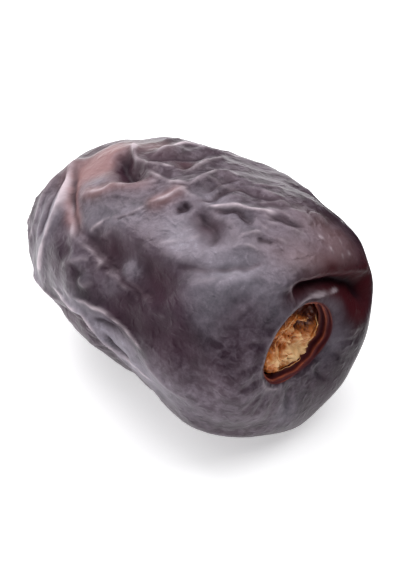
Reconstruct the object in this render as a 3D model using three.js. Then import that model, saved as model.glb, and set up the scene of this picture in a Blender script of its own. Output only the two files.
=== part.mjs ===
// Dried date: one soft wrinkled fruit lying on its side, and the dry stalk fibre left in its stem end.
// Millimetres, +Z up. The fruit lies along X with its stem end at +X, and rests on the plane Z = 0.
// A place on the skin is given as [degrees from the stem pole, degrees round], where 0 round is +Y,
// 90 is the top, 180 is -Y and 270 is the underside.

import * as THREE from 'three';

const DEG = Math.PI / 180;

// Whole fruit
const STEM_REACH = 15.1; // from the widest section to the stem end
const TIP_REACH = 20.3; // from the widest section to the tip
const HALF_WIDTH = 12.35;
const HALF_HEIGHT = 11.8;
const STEM_SQUARE = 0.62; // below 1 the stem end is blunt, as a barrel is
const STEM_ROUND = 0.75;
const TIP_SQUARE = 0.7;
const TIP_ROUND = 0.775;
const SWELL = 0.096; // how much fuller the stem half is
const LEAN = 3 * DEG; // the stem end lies a little higher than the tip
const REST_LEVEL = -11.25; // where the surface flattens the underside, from the fruit's own axis

// Stem end
const DISH_DEPTH = 1.8; // the end face sinks in round the stem hollow
const DISH_RADIUS = 5.6;
const RIM = 13.2 * DEG; // the hollow's rim, from the stem pole
const RIM_FADE = 60 * DEG; // the rim's uneven outline has died away here
const HOLLOW_DEPTH = 1.6;
const HOLLOW_Y = -1.75; // the hollow lies off the fruit's axis
const HOLLOW_Z = 1.4;
const FLOOR_SHARE = 0.9; // floor width over rim width
const FLOOR_ROWS = 0.45; // share of the way to the rim that the floor takes, by angle

// Stalk fibre
const FIBRE_HEIGHT = 1.25;
const FIBRE_SPREAD = 0.96; // its width over the hollow floor's
const SEAT_GAP = 0.3; // it sits this far off the hollow's floor

// Grid of the skin
const ROWS = 62;
const HOLLOW_ROWS = 8;
const COLUMNS = 98;
const CREST_ROUND = 0.45; // folds are rounded to what this grid can carry,
const NARROWEST = 0.7; // and fall away no faster than this

// Hand-placed folds: path over the skin, height (minus is a groove), fall-off on its left and right
const fold = (height, left, right, path) => ({ height, left, right, path });
const FOLDS = [
  // tip end: the long ridge that closes the face nearest the tip, and the lines beside it
  fold(0.6, 0.5, 0.8,
    [[141, 86], [136, 105], [130, 118], [123.5, 131],
      [121.5, 144], [121.5, 158], [123.5, 176], [127, 190]]),
  fold(-0.75, 0.8, 0.4,
    [[134, 103.5], [128.5, 115.5], [122.5, 125.5], [116.5, 132.5], [111, 138.5], [105, 142]]),
  fold(0.4, 0.45, 1,
    [[122, 127], [118, 132], [113, 138], [109, 144], [105.5, 145],
      [101.5, 145], [98, 146], [96.7, 148], [96.4, 152], [96, 156]]),
  fold(-0.5, 0.6, 0.6,
    [[110, 137], [105, 140], [101, 142], [97.5, 144.5], [95, 146],
      [93, 147], [91.5, 149], [89.5, 149.7], [86.5, 148.5], [79, 146]]),
  fold(0.42, 0.45, 0.45, [[155, 118], [151, 130], [147, 148], [141, 166], [135, 182]]),
  fold(0.4, 0.45, 0.45, [[164, 110], [160, 140], [154, 165], [146, 186]]),
  fold(0.42, 0.5, 0.5, [[138, 198], [128, 195], [118, 192], [110, 189]]),
  fold(-0.5, 0.55, 0.55, [[128, 206], [116, 203], [104, 199], [94, 199]]),
  // top: the lip and the dark pocket, the curl beside them and the folds behind the middle
  fold(0.45, 0.4, 0.9, [[119, 126], [111, 119], [106, 112], [99, 103], [96, 98]]),
  fold(-0.85, 0.8, 0.6, [[119, 87], [114, 93], [109, 98], [103, 103], [99, 107]]),
  fold(0.8, 0.5, 0.35, [[119, 76], [112, 87], [106.5, 92], [102, 91.5], [99.5, 90], [97, 86]]),
  fold(0.55, 0.4, 0.7,
    [[108, 90], [105.5, 87], [106, 79.5], [105, 72], [105, 64], [102, 61], [98, 61], [96, 52], [95, 40]]),
  fold(-0.9, 0.45, 0.45, [[103, 58], [101, 50], [99, 42]]),
  fold(0.42, 0.45, 0.5, [[95, 115], [93, 109], [92, 104], [91.5, 99], [91, 94]]),
  fold(0.5, 0.35, 0.5, [[92, 96], [91.5, 92], [91, 88], [90.8, 83], [90.3, 76], [89.3, 69]]),
  fold(0.4, 0.4, 0.5, [[95, 88], [94, 82], [94, 74], [94, 65], [95, 54]]),
  fold(-0.55, 0.4, 0.4, [[90, 99], [88.5, 94], [88, 87], [87, 81], [83, 77], [79, 74], [75, 71]]),
  fold(0.45, 0.35, 0.5, [[88, 99], [87, 96], [84, 93], [81, 89], [77, 87], [73, 83], [68, 78]]),
  fold(-0.65, 0.35, 0.35, [[86.5, 98], [83.5, 95], [80.5, 92], [76.5, 93], [72.5, 93], [68, 91]]),
  fold(-0.5, 0.6, 0.6, [[89, 101], [85.4, 104], [81.5, 106], [78, 111], [75.5, 116]]),
  // long edge of the top face, and the groove below it
  fold(0.38, 0.8, 1.6, [[110, 136], [104, 134], [98, 130], [90, 129], [82, 126], [73, 123], [66, 118]]),
  fold(-0.4, 0.7, 0.6, [[85, 130], [79, 128], [72, 124], [64, 119], [57, 111], [51, 102]]),
  // shoulder over the stem end, the sharp edge that overhangs it and the lip of the hollow
  fold(0.42, 0.6, 1.2, [[57, 154], [51, 147], [47, 137], [41, 126], [34, 118], [28, 109]]),
  fold(0.8, 2.4, 0.3,
    [[46, 128], [39, 114], [32.5, 98], [27.2, 72], [26.6, 52], [30, 36], [39, 20], [50, 5]]),
  fold(0.32, 0.35, 0.45,
    [[15, 60], [15.5, 95], [15.5, 130], [15.5, 165], [15.5, 200], [15, 235], [14.5, 262]]),
  fold(0.35, 0.35, 0.35,
    [[16.3, 108], [15.6, 91], [15.1, 72], [15.9, 53], [17.6, 39], [20.3, 27.5], [23, 19]]),
  // flank, low down
  fold(0.55, 0.4, 0.5,
    [[118, 182], [110, 181], [103, 178.5], [98, 177], [94.5, 181],
      [92.5, 186], [90, 189.5], [87, 192], [80, 196]]),
  fold(0.48, 0.4, 0.5, [[110, 174], [104, 172], [98, 170], [93, 168.5], [90, 169.5], [87, 173], [80, 178]]),
  // far flank: long folds in the manner of the near one
  fold(0.5, 0.7, 1, [[136, 46], [132, 32], [129, 16], [129, -2], [133, -20]]),
  fold(-0.55, 0.8, 0.5, [[126, 42], [121, 31], [116, 21], [110, 14], [103, 10]]),
  fold(0.5, 0.4, 0.7, [[114, 24], [106, 14], [98, 15], [90, 6], [81, 8], [72, 0]]),
  fold(-0.5, 0.5, 0.5, [[110, 354], [101, 347], [91, 350], [81, 342], [70, 345]]),
  fold(0.45, 0.45, 0.7, [[120, 334], [109, 324], [97, 327], [85, 317], [74, 319], [62, 310]]),
  fold(0.42, 0.4, 0.5, [[92, 340], [84, 333], [75, 334], [66, 326]]),
];

// Broad soft troughs and swellings: path, height and half width
const swelling = (height, width, path) => ({ height, width, path });
const SWELLINGS = [
  swelling(-1, 1.7, [[111, 136], [104, 137], [96, 139], [88, 140], [80, 142], [71, 145]]),
  swelling(0.75, 1.3, [[83, 138], [75, 136], [67, 131], [60, 125], [53, 115], [48, 104]]),
  swelling(1.2, 4, [[62, 230], [52, 256], [43, 284], [35, 312], [33, 342], [40, 368], [50, 384]]),
  swelling(-1.25, 3.4, [[128, 202], [113, 205], [98, 207], [83, 209], [67, 213]]),
  swelling(-0.5, 2.4, [[96, 158], [88, 162], [79, 163], [62, 160], [47, 157]]),
  swelling(-1.3, 1.1, [[31.5, 116], [25.4, 102], [22.3, 74], [23.3, 46], [27.6, 22], [33, 2], [38, -20]]),
  swelling(-0.9, 1.7, [[116, 16], [106, 21], [96, 22], [86, 26], [76, 24], [66, 30]]),
  swelling(0.6, 1.4, [[112, 38], [100, 41], [88, 40], [76, 44], [66, 42]]),
  swelling(-0.8, 1.9, [[122, 344], [108, 338], [94, 341], [80, 333], [66, 336]]),
  swelling(0.7, 2.5, [[97, 206], [87, 209], [76, 215], [65, 225], [53, 240], [41, 256]]),
  swelling(-0.5, 2.2, [[146, 160], [152, 145], [153, 125], [150, 100], [137, 80], [129, 62]]),
  swelling(-0.5, 2.4, [[150, 104], [139, 80], [129, 62], [120, 48]]),
];

// Single hollows, or bumps where the depth is below zero: place, radius along and across, depth
const hollow = (place, along, across, depth) => ({ place, along, across, depth });
const HOLLOWS = [
  hollow([120, 105], 3.4, 2.6, 0.6),
  hollow([96.6, 81], 0.9, 0.9, 0.5),
  hollow([112, 95], 1.3, 1.5, 0.45),
  hollow([106, 100.5], 1.3, 1.4, 0.45),
  hollow([104, 85], 0.9, 1.1, 0.5),
  hollow([83.5, 105.5], 2.2, 1.7, 0.3),
  hollow([88, 116], 3.4, 2.4, 0.3),
  hollow([101.5, 190.5], 2.2, 1, 0.75),
  hollow([105, 199], 3, 1.6, -0.3),
  hollow([107, 212], 3.2, 2.2, -0.9),
  hollow([139, 181], 2.5, 2, -0.35),
  hollow([48, 19], 2.4, 2.5, -0.2),
  hollow([44, 336], 3, 3, 0.22),
  hollow([47, 288], 3, 3, -0.22),
  hollow([104, 158], 3, 3, -0.4),
  hollow([112, 157], 0.8, 0.7, -0.2),
  hollow([104, 153], 0.8, 0.7, -0.25),
  hollow([98.3, 159.5], 0.8, 0.8, -0.2),
  hollow([98, 186], 1.4, 0.6, 0.35),
  hollow([90.6, 141.4], 1.5, 1.3, -0.4),
  hollow([34, 6], 2.2, 2.4, 0.4),
];

// Repeats that a rule places
const STEM_PUCKERS = 17;
const TIP_PUCKERS = 11;
const HIDDEN_CREASES = 22;
const GOLDEN = 0.6180339887;

const share = (x) => x - Math.floor(x);
const smooth = (x) => {
  const s = THREE.MathUtils.clamp(x, 0, 1);
  return s * s * (3 - 2 * s);
};

// Short grooves that run out from the stem hollow's rim
function stemPucker(k) {
  const round = 130 + (225 * k) / STEM_PUCKERS + 5 * Math.sin(2.3 * k);
  const length = 13 + 8 * share(k * GOLDEN);
  const bend = 5 * Math.sin(1.7 * k + 1);
  const depth = 0.08 + 0.1 * share(k * 0.38);
  const start = 15.5;
  return fold(-depth, 0.25, 0.25,
    [[start, round], [start + length / 2, round + 0.6 * bend], [start + length, round + bend]]);
}

// Grooves that gather at the tip
function tipPucker(k) {
  const round = (k * 360) / TIP_PUCKERS + 9 * Math.sin(1.9 * k);
  const length = 16 + 12 * share(k * GOLDEN);
  const start = 174;
  return fold(-0.3 - 0.2 * share(k * 0.41), 0.6, 0.6,
    [[start, round], [start - length / 2, round + 4], [start - length, round + 10]]);
}

// Creases of the far flank and the underside, turned this way and that by the golden ratio
function hiddenCrease(k) {
  const spread = share(k * GOLDEN);
  const from = 48 + 72 * share(k * 7 * 0.3819660113);
  const length = 16 + 14 * share(k * 0.7548776662);
  const turn = 16 * Math.sin(1.9 * k);
  const raised = k % 3 ? 1 : -1;
  const path = [0, 1, 2, 3, 4].map((i) => [
    from + (length * i) / 4,
    222 + 184 * spread + turn * (i / 4 - 0.5) + 5 * Math.sin(1.3 * i + k),
  ]);
  return fold(raised * (0.26 + 0.2 * spread), 0.5, 0.8, path);
}

// The plain body: a barrel at the stem half, an egg at the tip half, with the stem hollow sunk in
function skinPoint(polar, round) {
  const inside = polar < RIM;
  const q = THREE.MathUtils.clamp(polar / RIM, 0, 1);
  const c = Math.cos(Math.max(polar, RIM));
  const s = Math.sin(Math.max(polar, RIM));
  const stemHalf = c > 0;
  const reach = stemHalf ? STEM_REACH : TIP_REACH;
  let x = reach * Math.sign(c) * Math.abs(c) ** (stemHalf ? STEM_SQUARE : TIP_SQUARE);
  let r = Math.abs(s) ** (stemHalf ? STEM_ROUND : TIP_ROUND) * (1 + (SWELL * x) / STEM_REACH);
  const wall = THREE.MathUtils.clamp((q - FLOOR_ROWS) / (1 - FLOOR_ROWS), 0, 1);
  if (inside) {
    r *= q < FLOOR_ROWS ? (q / FLOOR_ROWS) * FLOOR_SHARE : FLOOR_SHARE + (1 - FLOOR_SHARE) * wall;
    x -= HOLLOW_DEPTH * (1 - smooth(wall));
  }
  const meanRadius = (r * (HALF_WIDTH + HALF_HEIGHT)) / 2;
  if (stemHalf) x -= DISH_DEPTH * Math.exp(-((meanRadius / DISH_RADIUS) ** 2));
  const near = 1 - smooth((polar - RIM) / (RIM_FADE - RIM));
  const uneven = 1 + near * (0.07 * Math.cos(2 * (round - 0.35)) + 0.03 * Math.cos(3 * round + 1));
  const y = HALF_WIDTH * r * Math.cos(round) * uneven + HOLLOW_Y * near;
  const z = HALF_HEIGHT * r * Math.sin(round) * uneven + HOLLOW_Z * near;
  return new THREE.Vector3(
    x * Math.cos(LEAN) - z * Math.sin(LEAN),
    y,
    x * Math.sin(LEAN) + z * Math.cos(LEAN),
  );
}

// Directions along and round the skin, by small steps
function skinFrame(polar, round, step = 1e-4) {
  const p = THREE.MathUtils.clamp(polar, 0.002, Math.PI - 0.002);
  const along = skinPoint(p + step, round).sub(skinPoint(p - step, round)).normalize();
  const across = skinPoint(p, round + step).sub(skinPoint(p, round - step)).normalize();
  return { along, across, normal: along.clone().cross(across).normalize() };
}

// A path over the skin as a polyline in space, smoothed through its points
function skinPath(places, steps = 30) {
  const flat = places.map(([polar, round]) => new THREE.Vector3(polar * DEG, round * DEG, 0));
  const curve = new THREE.CatmullRomCurve3(flat, false, 'catmullrom', 0.5);
  return Array.from({ length: steps }, (_, i) => {
    const at = curve.getPoint(i / (steps - 1));
    return skinPoint(at.x, at.y);
  });
}

// Distance from a point to a polyline, how far along it the nearest place is, and on which side
function nearest(point, normal, line) {
  const best = { distance: Infinity, along: 0, side: 1 };
  const reach = line.slice(1).map((end, i) => end.distanceTo(line[i]));
  const total = reach.reduce((a, b) => a + b, 0);
  let run = 0;
  for (let i = 0; i < reach.length; i += 1) {
    const step = line[i + 1].clone().sub(line[i]);
    const from = point.clone().sub(line[i]);
    const u = THREE.MathUtils.clamp(from.dot(step) / step.lengthSq(), 0, 1);
    const off = from.addScaledVector(step, -u);
    const distance = off.length();
    if (distance < best.distance) {
      best.distance = distance;
      best.along = (run + u * reach[i]) / total;
      best.side = Math.sign(step.cross(off).dot(normal));
    }
    run += reach[i];
  }
  return best;
}

const endFade = (along) => smooth(Math.min(along, 1 - along) / 0.3);

function foldHeight(shape, point, normal) {
  const widest = Math.max(shape.left, shape.right, NARROWEST);
  const far = 5 * widest + 0.3;
  const { distance, along, side } = nearest(point, normal, shape.line);
  if (distance > far) return 0;
  const width = Math.max(side > 0 ? shape.left : shape.right, NARROWEST);
  const past = Math.hypot(distance, CREST_ROUND) - CREST_ROUND;
  const edge = smooth(((far - distance) / far) * 1.6);
  return shape.height * Math.exp(-past / width) * edge * endFade(along);
}

function swellingHeight(shape, point, normal) {
  const { distance, along } = nearest(point, normal, shape.line);
  return shape.height * Math.exp(-((distance / shape.width) ** 2)) * endFade(along);
}

function hollowHeight(shape, point) {
  const [polar, round] = shape.place.map((angle) => angle * DEG);
  const { along, across } = skinFrame(polar, round);
  const off = point.clone().sub(skinPoint(polar, round));
  if (off.length() > 3 * Math.max(shape.along, shape.across)) return 0;
  const a = off.dot(along) / shape.along;
  const b = off.dot(across) / shape.across;
  return -shape.depth * Math.exp(-(a * a + b * b));
}

// Long soft waves left as the flesh shrank
function shrinkWaves({ x, y, z }) {
  const long = Math.sin(0.55 * x + 0.4 * Math.sin(0.5 * y) + 1) * Math.sin(0.6 * y + 0.3);
  const short = Math.sin(1.1 * x + 0.8 * z + 2) * Math.cos(0.9 * y - 0.5 * x);
  return 0.16 * long * Math.cos(0.45 * z) + 0.1 * short;
}

const count = (n, make) => Array.from({ length: n }, (_, k) => make(k));
const withLine = (shape) => ({ ...shape, line: skinPath(shape.path) });
const allFolds = [
  ...FOLDS,
  ...count(STEM_PUCKERS, stemPucker),
  ...count(TIP_PUCKERS, tipPucker),
  ...count(HIDDEN_CREASES, hiddenCrease),
].map(withLine);
const allSwellings = SWELLINGS.map(withLine);

// Relief fades out inside the stem hollow and where the fruit meets the surface it lies on
function relief(point, normal, polar) {
  const outside = smooth((polar - 0.86 * RIM) / (0.14 * RIM));
  const above = smooth((point.z - REST_LEVEL + 0.1) / 0.9);
  let height = shrinkWaves(point);
  allFolds.forEach((shape) => { height += foldHeight(shape, point, normal); });
  allSwellings.forEach((shape) => { height += swellingHeight(shape, point, normal); });
  HOLLOWS.forEach((shape) => { height += hollowHeight(shape, point); });
  return height * outside * above;
}

// Rows evenly spaced along the top of the fruit, with their own few rows inside the stem hollow
function rowAngles() {
  const samples = 2000;
  const angles = count(samples + 1, (i) => RIM + ((Math.PI - RIM) * i) / samples);
  const run = [0];
  for (let i = 1; i <= samples; i += 1) {
    const step = skinPoint(angles[i], Math.PI / 2).distanceTo(skinPoint(angles[i - 1], Math.PI / 2));
    run.push(run[i - 1] + step);
  }
  const outer = ROWS - HOLLOW_ROWS;
  const rows = count(HOLLOW_ROWS, (i) => (RIM * i) / HOLLOW_ROWS);
  for (let i = 0; i < outer; i += 1) {
    const target = (run[samples] * i) / (outer - 1);
    const at = Math.max(1, run.findIndex((length) => length >= target));
    const part = (target - run[at - 1]) / (run[at] - run[at - 1]);
    rows.push(angles[at - 1] + part * (angles[at] - angles[at - 1]));
  }
  return rows;
}

// A closed skin from rows of points between two poles. Each cell is split along its shorter diagonal,
// so that the facets follow the folds.
function closedGrid(firstPole, rings, lastPole) {
  const columns = rings[0].length;
  const points = [firstPole, ...rings.flat(), lastPole];
  const last = points.length - 1;
  const id = (row, column) => 1 + row * columns + (column % columns);
  const index = [];
  for (let j = 0; j < columns; j += 1) {
    index.push(0, id(0, j), id(0, j + 1));
    for (let i = 0; i < rings.length - 1; i += 1) {
      const [a, b, c, d] = [id(i, j), id(i + 1, j), id(i + 1, j + 1), id(i, j + 1)];
      const shorter = points[a].distanceTo(points[c]) <= points[b].distanceTo(points[d]);
      index.push(...(shorter ? [a, b, c, a, c, d] : [a, b, d, b, c, d]));
    }
    index.push(last, id(rings.length - 1, j + 1), id(rings.length - 1, j));
  }
  const geometry = new THREE.BufferGeometry().setFromPoints(points);
  geometry.setIndex(index);
  return geometry;
}

const roundAngle = (column, columns) => (2 * Math.PI * column) / columns;

function fleshGeometry() {
  const place = (polar, round) => {
    const point = skinPoint(polar, round);
    const { normal } = skinFrame(Math.max(polar, RIM + 0.01), round);
    point.addScaledVector(normal, relief(point, normal, polar));
    point.z = Math.max(point.z, REST_LEVEL);
    return point;
  };
  const rows = rowAngles();
  const rings = rows.slice(1, -1).map((polar) =>
    count(COLUMNS, (j) => place(polar, roundAngle(j, COLUMNS))));
  return closedGrid(place(0, 0), rings, place(Math.PI, 0));
}

// Height of the crumpled fibre over its seat; across is 0 in the middle and 1 at the edge
function fibreHeight(across, round) {
  const lumps = 1 + 0.16 * Math.sin(3 * round + 5 * across) + 0.12 * Math.sin(5 * round - 7 * across + 2);
  const leanOver = 1 + 0.2 * across * Math.cos(round - 3.6);
  return FIBRE_HEIGHT * Math.sqrt(1 - across ** 4) * lumps * leanOver;
}

function fibreGeometry() {
  const columns = 40;
  const steps = 7;
  const outward = new THREE.Vector3(Math.cos(LEAN), 0, Math.sin(LEAN));
  const seat = (across, round) => {
    const polar = across * FIBRE_SPREAD * FLOOR_ROWS * RIM;
    return skinPoint(polar, round).addScaledVector(outward, SEAT_GAP);
  };
  const top = (across, round) =>
    seat(across, round).addScaledVector(outward, 0.15 + fibreHeight(across, round));
  const ring = (make, across) => count(columns, (j) => make(across, roundAngle(j, columns)));
  const out = count(steps, (i) => ring(top, (i + 1) / steps));
  const back = count(steps, (i) => ring(seat, 1 - i / steps));
  return closedGrid(top(0, 0), [...out, ...back], seat(0, 0));
}

const skin = new THREE.MeshStandardMaterial({ color: 0x3a2a33, roughness: 0.42, metalness: 0 });
const fibre = new THREE.MeshStandardMaterial({ color: 0xb9772f, roughness: 0.6, metalness: 0 });

const date = new THREE.Group();
const flesh = new THREE.Mesh(fleshGeometry(), skin);
flesh.name = 'date_flesh';
const plug = new THREE.Mesh(fibreGeometry(), fibre);
plug.name = 'stem_fibre';
date.add(flesh, plug);

// The origin is under the middle of the fruit's box, on the surface that it lies on
const box = new THREE.Box3().setFromObject(date);
const middle = box.getCenter(new THREE.Vector3());
date.position.set(-middle.x, -middle.y, -box.min.z);
date.updateMatrixWorld(true);

export default date;
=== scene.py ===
"""A dried date lying on its side: creased waxy skin, and dry stalk fibre in its stem end."""

import itertools
import logging
import math
from dataclasses import dataclass, field
from enum import Enum

import bpy
import numpy as np
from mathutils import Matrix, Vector


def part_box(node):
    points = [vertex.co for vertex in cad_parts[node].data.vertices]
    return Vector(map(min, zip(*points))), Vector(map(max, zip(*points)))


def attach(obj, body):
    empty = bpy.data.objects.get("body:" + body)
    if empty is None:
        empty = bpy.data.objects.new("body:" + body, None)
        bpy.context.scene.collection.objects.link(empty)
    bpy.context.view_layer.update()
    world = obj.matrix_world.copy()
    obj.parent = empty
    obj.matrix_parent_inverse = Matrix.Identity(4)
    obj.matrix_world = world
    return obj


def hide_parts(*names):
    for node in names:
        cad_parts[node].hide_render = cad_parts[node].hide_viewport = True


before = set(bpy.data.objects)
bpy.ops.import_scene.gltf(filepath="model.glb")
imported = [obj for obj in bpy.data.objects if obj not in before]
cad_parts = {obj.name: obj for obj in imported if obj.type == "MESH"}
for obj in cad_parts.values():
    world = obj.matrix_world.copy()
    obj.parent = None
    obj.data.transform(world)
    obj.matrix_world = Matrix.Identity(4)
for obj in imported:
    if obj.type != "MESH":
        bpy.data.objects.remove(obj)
LOG = logging.getLogger("dried_date")

Array = np.ndarray
Place = tuple[float, float]
MM = 0.001
GOLDEN = 0.6180339887


def smooth(x: Array) -> Array:
    """Eases from 0 to 1: three x squared minus two x cubed, held outside that range.

    Args:
        x: Any values.

    Returns:
        The eased values.
    """
    held = np.clip(x, 0.0, 1.0)
    return held * held * (3.0 - 2.0 * held)


def unit(vectors: Array) -> Array:
    """Each vector over its own length."""
    return vectors / np.maximum(np.linalg.norm(vectors, axis=-1, keepdims=True), 1e-12)


def golden_share(k: int, step: float = GOLDEN) -> float:
    """The part after the point of k steps, which spreads repeats evenly without a pattern."""
    return (k * step) % 1.0


def noise(points: Array, size: float | tuple[float, float, float], seed: int) -> Array:
    """Gradient noise: each corner of a lattice cell has a seeded direction, its dot product with
    the way to the point is one value, and the eight values are eased together.

    Args:
        points: Places in millimetres, any shape with three values last.
        size: Millimetres from one lattice corner to the next, alike or along X, Y and Z.
        seed: Picks the directions.

    Returns:
        About -1 to 1 at each place.
    """
    rng = np.random.default_rng(seed)
    order = rng.permutation(256)
    directions = unit(rng.normal(size=(256, 3)))
    scaled = points / np.asarray(size, float)
    cell = np.floor(scaled).astype(int)
    part = scaled - cell
    ease = part * part * part * (part * (part * 6.0 - 15.0) + 10.0)
    total = np.zeros(points.shape[:-1])
    for corner in itertools.product((0, 1), repeat=3):
        at = (cell + corner) & 255
        pick = order[(order[(order[at[..., 0]] + at[..., 1]) & 255] + at[..., 2]) & 255]
        dot = np.sum(directions[pick] * (part - corner), axis=-1)
        total += dot * np.prod(np.where(corner, ease, 1.0 - ease), axis=-1)
    return 1.6 * total


def creased(values: Array, sharpness: float = 2.4) -> Array:
    """Turns noise into thin ridges along its zero lines: one minus the size, cut at 0, squared."""
    return np.clip(1.0 - sharpness * np.abs(values), 0.0, 1.0) ** 2


@dataclass(frozen=True)
class FruitBody:
    """The plain body under the wrinkles, in millimetres along its own axis.

    A place on it is a pair of angles: polar from the stem pole, and round, where 0 is +Y,
    90 degrees is the top, 180 is -Y and 270 is the underside.
    """

    stem_reach: float = 15.1
    tip_reach: float = 20.3
    half_width: float = 12.35
    half_height: float = 11.8
    stem_square: float = 0.62
    stem_round: float = 0.75
    tip_square: float = 0.7
    tip_round: float = 0.775
    swell: float = 0.096
    lean: float = math.radians(3.0)
    rest_level: float = -11.25
    dish_depth: float = 1.8
    dish_radius: float = 5.6
    rim: float = math.radians(13.2)
    rim_fade: float = math.radians(60.0)
    hollow_depth: float = 1.6
    hollow_y: float = -1.75
    hollow_z: float = 1.4
    floor_share: float = 0.9
    floor_rows: float = 0.45

    def points(self, polar: Array, round_: Array) -> Array:
        """Places on the plain body: a superellipse profile, blunt at the stem and egg-shaped at the
        tip, turned round X, with a shallow dish and a steep hollow sunk in at the stem end.

        Args:
            polar: Angles from the stem pole, in radians.
            round_: Angles round the fruit, in radians.

        Returns:
            X, Y and Z in millimetres, last.
        """
        polar, round_ = np.broadcast_arrays(polar, round_)
        inside = polar < self.rim
        q = np.clip(polar / self.rim, 0.0, 1.0)
        c = np.cos(np.maximum(polar, self.rim))
        s = np.abs(np.sin(np.maximum(polar, self.rim)))
        stem_half = c > 0
        reach = np.where(stem_half, self.stem_reach, self.tip_reach)
        x = reach * np.sign(c) * np.abs(c) ** np.where(stem_half, self.stem_square, self.tip_square)
        r = s ** np.where(stem_half, self.stem_round, self.tip_round)
        r = r * (1.0 + self.swell * x / self.stem_reach)
        wall = np.clip((q - self.floor_rows) / (1.0 - self.floor_rows), 0.0, 1.0)
        floor = q / self.floor_rows * self.floor_share
        share = np.where(q < self.floor_rows, floor, self.floor_share + (1.0 - self.floor_share) * wall)
        r = np.where(inside, r * share, r)
        mean_radius = r * (self.half_width + self.half_height) / 2.0
        x = x - np.where(stem_half, self.dish_depth, 0.0) * np.exp(-((mean_radius / self.dish_radius) ** 2))
        x = x - np.where(inside, self.hollow_depth * (1.0 - smooth(wall)), 0.0)
        near = 1.0 - smooth((polar - self.rim) / (self.rim_fade - self.rim))
        uneven = 0.07 * np.cos(2.0 * (round_ - 0.35)) + 0.03 * np.cos(3.0 * round_ + 1.0)
        y = self.half_width * r * np.cos(round_) * (1.0 + near * uneven) + self.hollow_y * near
        z = self.half_height * r * np.sin(round_) * (1.0 + near * uneven) + self.hollow_z * near
        tilt_c, tilt_s = math.cos(self.lean), math.sin(self.lean)
        return np.stack([x * tilt_c - z * tilt_s, y, x * tilt_s + z * tilt_c], axis=-1)

    def axes(self, polar: Array, round_: Array, step: float = 1e-4) -> tuple[Array, Array, Array]:
        """Directions on the plain body, by small steps along and round it.

        Args:
            polar: Angles from the stem pole, in radians.
            round_: Angles round the fruit, in radians.
            step: Half the small step, in radians.

        Returns:
            Unit vectors along the fruit, round it and outwards.
        """
        p = np.clip(polar, 0.002, math.pi - 0.002)
        along = unit(self.points(p + step, round_) - self.points(p - step, round_))
        across = unit(self.points(p, round_ + step) - self.points(p, round_ - step))
        return along, across, unit(np.cross(along, across))

    def outward(self) -> Array:
        """The fruit's own axis, out of the stem end."""
        return np.array([math.cos(self.lean), 0.0, math.sin(self.lean)])

    def rows(self, count: int, hollow_share: float) -> Array:
        """Polar angles of the grid's rows: even steps along the top of the fruit, by running length,
        with a share of the rows kept for the stem hollow.

        Args:
            count: How many rows in all.
            hollow_share: The part of them inside the rim.

        Returns:
            Rising angles in radians from pole to pole.
        """
        angles = np.linspace(self.rim, math.pi, 4000)
        line = self.points(angles, np.full_like(angles, math.pi / 2))
        run = np.concatenate([[0.0], np.cumsum(np.linalg.norm(np.diff(line, axis=0), axis=1))])
        inner = int(count * hollow_share)
        outer = np.interp(np.linspace(0.0, run[-1], count - inner), run, angles)
        floor = int(inner * 0.3)
        edge = self.rim * self.floor_rows
        hollow = [
            np.linspace(0.0, edge, floor, endpoint=False),
            np.linspace(edge, self.rim, inner - floor, endpoint=False),
        ]
        return np.concatenate([*hollow, outer])


BODY = FruitBody()


@dataclass(frozen=True)
class SkinPath:
    """A line over the skin, smoothed through a few given places in degrees."""

    places: tuple[Place, ...]
    steps: int = 30

    def line(self) -> Array:
        """The line in space: a Catmull-Rom curve through the places, each point then set on the body.

        Returns:
            Points in millimetres, one row each.
        """
        p = np.radians(np.asarray(self.places, float))
        padded = np.vstack([2 * p[0] - p[1], p, 2 * p[-1] - p[-2]])
        u = np.linspace(0.0, len(p) - 1, self.steps)
        i = np.minimum(u.astype(int), len(p) - 2)
        f = (u - i)[:, None]
        p0, p1, p2, p3 = padded[i], padded[i + 1], padded[i + 2], padded[i + 3]
        cubic = (-p0 + 3 * p1 - 3 * p2 + p3) * f**3
        flat = 0.5 * (2 * p1 + (p2 - p0) * f + (2 * p0 - 5 * p1 + 4 * p2 - p3) * f**2 + cubic)
        return BODY.points(flat[:, 0], flat[:, 1])

    def near(self, points: Array, normals: Array, reach: float) -> tuple[Array, Array, Array, Array]:
        """Finds the points within reach of the line, with the nearest place on it for each.

        Args:
            points: Places on the skin.
            normals: Outward directions there.
            reach: How far the line is felt, in millimetres.

        Returns:
            Their row numbers, distances, shares of the line's length passed, and sides, 1 or -1.
        """
        line = self.line()
        boxed = np.all((points > line.min(0) - reach) & (points < line.max(0) + reach), axis=1)
        rows = np.flatnonzero(boxed)
        start, step = line[:-1], np.diff(line, axis=0)
        length = np.linalg.norm(step, axis=1)
        run = np.concatenate([[0.0], np.cumsum(length)])
        off = points[rows, None, :] - start[None]
        u = np.clip(np.einsum("nsk,sk->ns", off, step) / length**2, 0.0, 1.0)
        off = off - u[..., None] * step[None]
        distance = np.linalg.norm(off, axis=-1)
        best = np.argmin(distance, axis=1)
        pick = np.arange(len(rows))
        share = (run[best] + u[pick, best] * length[best]) / run[-1]
        turn = np.cross(step[best], off[pick, best])
        side = np.sign(np.sum(turn * normals[rows], axis=1))
        kept = distance[pick, best] < reach
        return rows[kept], distance[pick, best][kept], share[kept], side[kept]


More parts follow.
